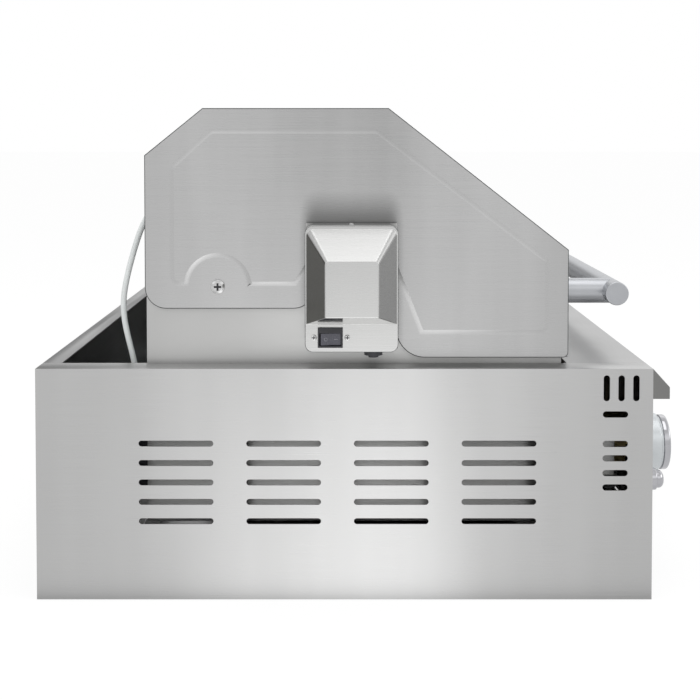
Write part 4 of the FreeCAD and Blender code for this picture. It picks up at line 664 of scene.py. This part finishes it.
def stamped_side(node_name, sign, steel):
    piece = clean_copy(node_name)
    mesh = piece.data
    places = [vertex.co.copy() for vertex in mesh.vertices]
    low_front = min(places, key=lambda place: place.y + place.z)
    at_corner = lambda place: math.hypot(place.y - low_front.y, place.z - low_front.z) < 0.0002
    pick(piece, "edges", lambda edge: all(at_corner(mesh.vertices[i].co) for i in edge.vertices))
    bpy.ops.mesh.bevel(offset=LOW_CORNER, segments=6, affect="EDGES")
    on_top = lambda face: abs(face.center.x) > RAISED - 0.0001 and abs(face.normal.x) > 0.99
    pick(piece, "polygons", on_top)
    bpy.ops.mesh.dissolve_faces()
    pick(piece, "polygons", on_top)
    bpy.ops.mesh.inset(thickness=SLOPE, use_even_offset=True)
    bpy.ops.object.mode_set(mode="OBJECT")
    top = [face for face in mesh.polygons if face.select]
    inner = {index for face in top for index in face.vertices}
    bpy.ops.object.mode_set(mode="EDIT")
    pick(piece, "vertices", lambda v: abs(v.co.x) > RAISED - 0.0001 and v.index not in inner)
    bpy.ops.transform.translate(value=(-sign * (RAISED - PLATE), 0, 0))
    bpy.ops.mesh.select_all(action="SELECT")
    bpy.ops.mesh.remove_doubles(threshold=0.00002)
    sharp = sharp_edges(piece, 12)
    upper = lambda edge: all(abs(mesh.vertices[i].co.x) > RAISED - 0.0001 for i in edge.vertices)
    pick(piece, "edges", lambda edge: edge.index in sharp and upper(edge))
    bpy.ops.mesh.bevel(offset=SLOPE_ROUNDING, segments=4, affect="EDGES", clamp_overlap=True)
    sharp = sharp_edges(piece, 40)
    rim = lambda edge: abs(abs(middle(piece, edge).x) - PLATE) < 0.0001
    pick(piece, "edges", lambda edge: edge.index in sharp and rim(edge))
    bpy.ops.mesh.bevel(offset=OUTLINE_ROUNDING, segments=2, affect="EDGES", clamp_overlap=True)
    even_shading(piece)
    settle(piece, "hood", "hood_steel", [steel, painted_edge_shade], node_name)
    # Painted shade: the outline faces get the near-black finish as the shadow line round the plate.
    finish_faces(piece, 1, lambda face: abs(face.normal.x) < 0.98 and abs(face.center.x) < PLATE - 0.00001)
    return piece


stamped_side("hood_left_side", -1, hood_side_painted_shade_steel)
stamped_side("hood_right_side", 1, hood_far_steel)

# %% [markdown]
# ## Motor cover
# A stamped box with a shallow rim, four slopes and a flat face. It starts as a block at the rim's size. One cut
# parts the flat for the switch from the slopes, the upper face is pulled out and made smaller, and the corners
# are rounded before the sheet gets its thickness.

# %% Cover form
RIM = {"x": (-0.396, -0.366), "y": (-0.04915, 0.03565), "z": (0.2332, 0.3484)}
SLOPE_LOW = 0.2576
FACE_X = -0.436
FACE = {"y": (-0.0305, 0.0166), "z": (0.2702, 0.320)}
FLANGE = 0.0013
TOP_FLANGE = 0.0033


def span(limits):
    return limits[1] - limits[0]


def centre(limits):
    return sum(limits) / 2


deselect()
bpy.ops.mesh.primitive_cube_add(size=1, location=[centre(RIM[axis]) for axis in "xyz"])
motor_cover = bpy.context.object
motor_cover.name = "motor_cover_formed"
motor_cover.scale = [span(RIM[axis]) for axis in "xyz"]
bpy.ops.object.transform_apply(location=True, rotation=True, scale=True)
bpy.ops.object.mode_set(mode="EDIT")


def along_x(edge):
    a, b = (motor_cover.data.vertices[i].co for i in edge.vertices)
    return abs(a.x - b.x) > 0.02


pick(motor_cover, "edges", along_x)
bpy.ops.mesh.bevel(offset=0.0072, segments=6, affect="EDGES")
bpy.ops.mesh.select_all(action="SELECT")
bpy.ops.mesh.bisect(plane_co=(0, 0, SLOPE_LOW), plane_no=(0, 0, 1))
pick(motor_cover, "polygons", lambda face: face.normal.x < -0.9 and face.center.z > SLOPE_LOW)
bpy.ops.mesh.inset(thickness=FLANGE)
even_height = RIM["z"][1] - FLANGE - SLOPE_LOW - FLANGE
slope_height = RIM["z"][1] - TOP_FLANGE - SLOPE_LOW - FLANGE
bpy.ops.transform.resize(value=(1, 1, slope_height / even_height),
                         center_override=(RIM["x"][0], 0, SLOPE_LOW + FLANGE))
bpy.ops.mesh.extrude_region_move(TRANSFORM_OT_translate={"value": (FACE_X - RIM["x"][0], 0, 0)})
base_y = (RIM["y"][0] + FLANGE, RIM["y"][1] - FLANGE)
base_z = (SLOPE_LOW + FLANGE, RIM["z"][1] - TOP_FLANGE)
bpy.ops.transform.resize(value=(1, span(FACE["y"]) / span(base_y), span(FACE["z"]) / span(base_z)),
                         center_override=(FACE_X, centre(base_y), centre(base_z)))
bpy.ops.transform.translate(value=(0, centre(FACE["y"]) - centre(base_y), centre(FACE["z"]) - centre(base_z)))
print("cover before rounding", len(motor_cover.data.polygons), "faces")

# %% Cover corners and sheet
SWITCH_CENTRE, SWITCH_OPENING = (-0.396, 0.0126, 0.2467), (0.006, 0.0204, 0.0168)
sharp = sharp_edges(motor_cover, 14)
pick(motor_cover, "edges", lambda edge: edge.index in sharp and middle(motor_cover, edge).x < -0.3965)
bpy.ops.mesh.bevel(offset=0.0010, segments=3, affect="EDGES", clamp_overlap=True)
sharp = sharp_edges(motor_cover, 40)
on_rim = lambda edge: abs(middle(motor_cover, edge).x - RIM["x"][0]) < 0.0001
pick(motor_cover, "edges", lambda edge: edge.index in sharp and on_rim(edge))
bpy.ops.mesh.bevel(offset=0.0011, segments=3, affect="EDGES", clamp_overlap=True)
pick(motor_cover, "polygons", lambda face: face.normal.x > 0.9)
bpy.ops.mesh.delete(type="FACE")
bpy.ops.object.mode_set(mode="OBJECT")
thickness = motor_cover.modifiers.new("sheet", "SOLIDIFY")
thickness.thickness = 0.0012
thickness.offset = -1
bpy.ops.object.modifier_apply(modifier=thickness.name)

bpy.ops.object.select_all(action="DESELECT")
bpy.ops.mesh.primitive_cube_add(size=1, location=SWITCH_CENTRE)
cutter = bpy.context.object
cutter.scale = SWITCH_OPENING
bpy.ops.object.transform_apply(location=True, rotation=True, scale=True)
bpy.ops.object.select_all(action="DESELECT")
motor_cover.select_set(True)
bpy.context.view_layer.objects.active = motor_cover
opening = motor_cover.modifiers.new("switch_opening", "BOOLEAN")
opening.object = cutter
opening.solver = "EXACT"
bpy.ops.object.modifier_apply(modifier=opening.name)
bpy.data.objects.remove(cutter)
even_shading(motor_cover)
settle(motor_cover, "cabinet", "motor_steel", [motor_sheet, painted_edge_shade, motor_shade, motor_low], "motor_cover")
on_slopes = lambda face: face.center.x < -0.3970
in_fold = lambda face: 0.1 < abs(face.normal.x) < 0.985 and -0.39598 < face.center.x < -0.3945
# Painted shade: the fold faces round the rim get the near-black finish as the shadow line round the cover.
finish_faces(motor_cover, 1, lambda face: in_fold(face) and face.normal.z < 0.5)
# Painted shade on the cover's rear slope and, a little, on its polished lower slope.
finish_faces(motor_cover, 2, lambda face: face.normal.y > 0.80 and on_slopes(face))
finish_faces(motor_cover, 3, lambda face: face.normal.z < -0.80 and on_slopes(face))

# %% [markdown]
# ## Turned pieces
# Knobs, handle, button and gland are round about one axis. A filled circle is extruded along the axis and
# scaled step by step, the way a lathe follows a drawing, and the ends are rounded by short steps.


# %% A lathe
def turned(name, start, axis, profile, sides=64):
    """profile is (distance along the axis, radius) in mm, from one end to the other."""
    deselect()
    axis = Vector(axis).normalized()
    along, radius = profile[0]
    place = Vector(start) + axis * along / 1000
    turn = Vector((0, 0, 1)).rotation_difference(axis).to_euler()
    bpy.ops.mesh.primitive_circle_add(vertices=sides, radius=radius / 1000, fill_type="NGON", location=place,
                                      rotation=turn)
    piece = bpy.context.object
    piece.name = name
    bpy.ops.object.transform_apply(location=True, rotation=True, scale=True)
    bpy.ops.object.mode_set(mode="EDIT")
    bpy.ops.mesh.select_all(action="SELECT")
    for next_along, next_radius in profile[1:]:
        step = axis * (next_along - along) / 1000
        place = place + step
        bpy.ops.mesh.extrude_region_move(TRANSFORM_OT_translate={"value": step})
        bpy.ops.transform.resize(value=(next_radius / radius,) * 3, center_override=place)
        along, radius = next_along, next_radius
    bpy.ops.mesh.select_all(action="SELECT")
    bpy.ops.mesh.normals_make_consistent(inside=False)
    bpy.ops.object.mode_set(mode="OBJECT")
    return piece


def rounded(profile, corner, steps=4):
    """Replaces the profile's two ends with quarter rounds."""
    (start, first), (end, last) = profile[0], profile[-1]
    rise = [(corner * (1 - math.cos(a)), corner * (1 - math.sin(a)))
            for a in (math.pi / 2 * i / steps for i in range(steps + 1))]
    head = [(start + along, first - inward) for along, inward in rise]
    tail = [(end - along, last - inward) for along, inward in reversed(rise)]
    return head + profile[1:-1] + tail


# %% [markdown]
# ### Knobs
# A skirt, a pale satin body and a chromed ring round a dished face with a low grip bar. Each knob is turned on
# its own.

# %% Knob pieces
KNOB_X = (-0.282, -0.094, 0.0, 0.094, 0.282)
KNOB_Z = 0.123
KNOB_PROFILE = [
    (0, 27.2), (0.4, 28.0), (1.0, 28.3), (13.4, 28.3), (14.1, 28.1), (14.5, 27.4), (14.6, 25.8), (16.6, 25.5),
    (16.8, 25.6), (17.0, 26.6), (17.5, 27.0), (21.6, 27.0), (22.6, 26.7), (23.3, 26.0), (23.5, 25.0),
    (23.4, 22.6), (22.6, 21.6), (22.4, 12.0), (22.3, 1.0),
]
KNOB_FOOT = -0.2975
RING_FROM = KNOB_FOOT - 0.0167
RING_INSIDE = 0.0215


def make_knob(number, x):
    knob = turned(f"knob_{number}_turned", (x, KNOB_FOOT, KNOB_Z), (0, -1, 0), KNOB_PROFILE, 96)
    bpy.ops.mesh.primitive_cube_add(size=1, location=(x, -0.3208, KNOB_Z))
    grip = bpy.context.object
    grip.scale = (0.009, 0.0058, 0.030)
    bpy.ops.object.transform_apply(location=True, rotation=True, scale=True)
    bpy.ops.object.mode_set(mode="EDIT")
    bpy.ops.mesh.select_all(action="SELECT")
    bpy.ops.mesh.bevel(offset=0.0018, segments=4, affect="EDGES")
    bpy.ops.object.mode_set(mode="OBJECT")
    knob.select_set(True)
    bpy.context.view_layer.objects.active = knob
    bpy.ops.object.join()
    even_shading(knob)
    settle(knob, f"knob_{number}", "knob_satin", [knob_metal, chrome_metal], f"knob_{number}")
    for face in knob.data.polygons:
        radius = math.hypot(face.center.x - x, face.center.z - KNOB_Z)
        face.material_index = int(face.center.y < RING_FROM and radius > RING_INSIDE)


for number, x in enumerate(KNOB_X, start=1):
    make_knob(number, x)

# %% [markdown]
# ### Lamp button
# A chromed push button with a domed end, in a chromed collar.

# %% Button pieces
BUTTON = (-0.338, -0.285, 0.1012)
collar = turned("button_collar_turned", BUTTON, (0, -1, 0),
                [(0, 13.0), (1.9, 13.0), (2.5, 12.4), (2.5, 10.7), (2.9, 10.5), (11.6, 10.5), (12.6, 10.2),
                 (13, 9.4), (13, 8.75), (1.5, 8.7)])
even_shading(collar)
settle(collar, "cabinet", "chrome", [chrome_metal], "button_collar")
button = turned("light_button_turned", BUTTON, (0, -1, 0),
                [(8.2, 8.0), (8.4, 8.5), (15.2, 8.55), (16.6, 8.35), (17.8, 7.8), (18.9, 6.8), (19.8, 5.2),
                 (20.3, 3.2), (20.5, 1.0)])
even_shading(button)
settle(button, "light_button", "chrome", [chrome_metal], "light_button")

# %% [markdown]
# ### Handle
# A satin tube with closed rounded ends. A cap is pressed in at each end, and its seam shows as a fine groove.

# %% Handle pieces
HANDLE_HALF, HANDLE_R = 330.0, 11.25
seam = [(5.4, HANDLE_R), (5.6, HANDLE_R - 0.3), (5.9, HANDLE_R - 0.3), (6.1, HANDLE_R)]
far_seam = [(2 * HANDLE_HALF - along, radius) for along, radius in reversed(seam)]
handle_profile = rounded([(0, HANDLE_R), *seam, *far_seam, (2 * HANDLE_HALF, HANDLE_R)], 1.0)
handle = turned("handle_tube_turned", (-HANDLE_HALF / 1000, -0.262, 0.278), (1, 0, 0), handle_profile, 72)
even_shading(handle)
settle(handle, "hood", "handle_satin", [handle_metal], "handle_tube")

# %% [markdown]
# ### Cable gland
# A short rubber gland holds the cable where it leaves the hood. It tapers towards the cable, with three rings.

# %% Gland piece
GLAND_LENGTH = 12
fall = Vector((0, math.sin(math.radians(30)), -math.cos(math.radians(30))))
gland_start = Vector((CABLE_X, *CABLE_YZ[0])) - fall * GLAND_LENGTH / 1000
gland = turned("hood_cable_gland_turned", gland_start, fall,
               [(0, 5.3), (0.3, 5.5), (3.0, 5.4), (3.3, 4.7), (4.0, 4.7), (4.3, 5.1), (5.6, 5.0), (5.9, 4.2),
                (6.6, 4.2), (6.9, 4.6), (8.2, 4.5), (8.5, 3.8), (11.4, 3.4), (12.0, 3.0)], 48)
even_shading(gland)
settle(gland, "hood", "black_plastic", [black_plastic], "hood_cable_gland")

# %% [markdown]
# ## Thermometer dial
# A pale disc lies on the floor of the thermometer's case, with printed ticks and the temperatures beside them.

# %% Dial and its marks
DIAL = Vector((0, -0.12595, 0.3892))
DIAL_LEAN = math.radians(38.1)
MARK_HEIGHT = 2.25
OUT = Vector((0, -math.sin(DIAL_LEAN), math.cos(DIAL_LEAN)))
UP = Vector((0, math.cos(DIAL_LEAN), math.sin(DIAL_LEAN)))


def on_dial(angle, reach, height):
    """A place on the dial: the angle is clockwise from the top, reach and height are in mm."""
    sideways = Vector((math.sin(angle), 0, 0)) + UP * math.cos(angle)
    return DIAL + (sideways * reach + OUT * height) / 1000


deselect()
bpy.ops.mesh.primitive_cylinder_add(vertices=96, radius=0.0312, depth=0.0004, location=on_dial(0, 0, 2.0),
                                    rotation=(DIAL_LEAN, 0, 0))
dial = bpy.context.object
dial.name = "thermometer_dial"
bpy.ops.object.transform_apply(location=True, rotation=True, scale=True)
bpy.ops.object.mode_set(mode="EDIT")
bpy.ops.mesh.select_all(action="SELECT")
bpy.ops.mesh.bevel(offset=0.0001, segments=2, affect="EDGES")
even_shading(dial)
settle(dial, "hood", "chrome", [dial_paint])


def printed_bar(width, length):
    """One tick about the origin, lying flat and pointing along Y, with softened edges."""
    deselect()
    bpy.ops.mesh.primitive_cube_add(size=1, location=(0, 0, 0))
    bar = bpy.context.object
    bar.scale = (width, length, 0.0002)
    bpy.ops.object.transform_apply(location=True, rotation=True, scale=True)
    bpy.ops.object.mode_set(mode="EDIT")
    bpy.ops.mesh.select_all(action="SELECT")
    bpy.ops.mesh.bevel(offset=0.00005, segments=1, affect="EDGES")
    bpy.ops.object.mode_set(mode="OBJECT")
    return bar


def printed_number(text, place):
    deselect()
    bpy.ops.object.text_add(location=place, rotation=(DIAL_LEAN, 0, 0))
    number = bpy.context.object
    number.data.body = text
    number.data.size = 0.0058
    number.data.align_x = "CENTER"
    number.data.align_y = "CENTER"
    number.data.extrude = 0.0001
    number.data.resolution_u = 3
    bpy.ops.object.convert(target="MESH")
    number = bpy.context.object
    bpy.ops.object.transform_apply(location=True, rotation=True, scale=True)
    return number


# %% Ticks and numbers
TICKS = 21
TICKS_A_NUMBER = 5
FIRST_ANGLE, ANGLE_STEP = -135, 13.5
FIRST_NUMBER, NUMBER_STEP = 100, 20
short_bar = printed_bar(0.0004, 0.0026)
long_bar = printed_bar(0.0008, 0.0042)
marks = []
for step in range(TICKS):
    angle = math.radians(FIRST_ANGLE + ANGLE_STEP * step)
    numbered = step % TICKS_A_NUMBER == 0
    pattern, reach = (long_bar, 27.6) if numbered else (short_bar, 28.4)
    mesh = pattern.data.copy()
    place = Matrix.Translation(on_dial(angle, reach, MARK_HEIGHT))
    mesh.transform(place @ Matrix.Rotation(DIAL_LEAN, 4, "X") @ Matrix.Rotation(-angle, 4, "Z"))
    tick = bpy.data.objects.new("dial_tick", mesh)
    scene.collection.objects.link(tick)
    marks.append(tick)
    if numbered:
        number = str(FIRST_NUMBER + NUMBER_STEP * step)
        marks.append(printed_number(number, on_dial(angle, 21.6, MARK_HEIGHT)))
bpy.data.objects.remove(short_bar)
bpy.data.objects.remove(long_bar)
deselect()
for mark in marks:
    mark.select_set(True)
bpy.context.view_layer.objects.active = marks[0]
bpy.ops.object.join()
dial_marks = bpy.context.object
dial_marks.name = "thermometer_dial_marks"
bpy.ops.object.mode_set(mode="EDIT")
bpy.ops.mesh.select_all(action="SELECT")
bpy.ops.mesh.remove_doubles(threshold=0.000001)
bpy.ops.mesh.normals_make_consistent(inside=False)
bpy.ops.object.mode_set(mode="OBJECT")
settle(dial_marks, "hood", "chrome", [black_plastic])

# %% [markdown]
# ## Rotisserie switch
# A moulded frame and a rocker that is pressed in on one half. A bar and a ring are printed on its two halves.

# %% Frame, rocker and marks
rounded_sheet("motor_switch_frame", "cabinet", "black_plastic", black_plastic, 0.0004, 2,
              where=lambda point: point.x < -0.3955)
rounded_sheet("switch_rocker", "switch_rocker", "rocker_plastic", rocker_plastic, 0.0004, 3)


def rocker_mark(half):
    """half is 1 for the ring on the rear half and -1 for the bar on the front one."""
    tilt = math.radians(7 + 5 * half)
    spot = Vector((-0.3925, 0.0126, 0.245))
    lean = math.radians(7)
    outward, sideways = -0.00365, 0.0046 * half
    spot += Vector((outward * math.cos(lean) - sideways * math.sin(lean),
                    outward * math.sin(lean) + sideways * math.cos(lean), 0))
    deselect()
    if half < 0:
        bpy.ops.mesh.primitive_cube_add(size=1, location=spot, rotation=(0, 0, tilt))
        bpy.context.object.scale = (0.0003, 0.0034, 0.0006)
    else:
        bpy.ops.mesh.primitive_torus_add(location=spot, rotation=(0, math.pi / 2, tilt), major_radius=0.0014,
                                         minor_radius=0.00028, major_segments=32, minor_segments=8)
    mark = bpy.context.object
    mark.name = "rocker_mark_bar" if half < 0 else "rocker_mark_ring"
    bpy.ops.object.transform_apply(location=True, rotation=True, scale=True)
    if half < 0:
        bpy.ops.object.mode_set(mode="EDIT")
        bpy.ops.mesh.select_all(action="SELECT")
        bpy.ops.mesh.bevel(offset=0.00008, segments=2, affect="EDGES")
        bpy.ops.object.mode_set(mode="OBJECT")
    settle(mark, "switch_rocker", "rocker_plastic", [mark_paint])


rocker_mark(1)
rocker_mark(-1)

# %% [markdown]
# ## Screws
# The heads are cross-recessed. Their rims are rounded, and the recess faces get black plastic's colour as painted
# shade.

# %% Screw heads
PIVOT_YZ = (0.1185, 0.2884)
hinge_screws = rounded_sheet("hinge_screws", "cabinet", "chrome", screw_metal, 0.0003)
# The second finish paints the hinge screws' recess faces black as painted shade.
hinge_screws.data.materials.append(black_plastic)


def in_recess_for_painted_shade(face):
    reach = math.hypot(face.center.y - PIVOT_YZ[0], face.center.z - PIVOT_YZ[1])
    return reach < 0.0037 and 0.3585 < abs(face.center.x) < 0.3609


finish_faces(hinge_screws, 1, in_recess_for_painted_shade)

SCREW_YZ = ((0.0275, 0.2467), (-0.0029, 0.2467))
small_screws = rounded_sheet("small_screws", "cabinet", "chrome", screw_metal, 0.0002)
# The second finish paints the small screws' recess faces black as painted shade.
small_screws.data.materials.append(black_plastic)


def in_small_recess_for_painted_shade(face):
    near = min(math.hypot(face.center.y - y, face.center.z - z) for y, z in SCREW_YZ)
    return near < 0.0019 and -0.3972 < face.center.x < -0.3955


finish_faces(small_screws, 1, in_small_recess_for_painted_shade)

# %% [markdown]
# ## End
# The last cell leaves nothing selected.

# %% Clear the selection
deselect()
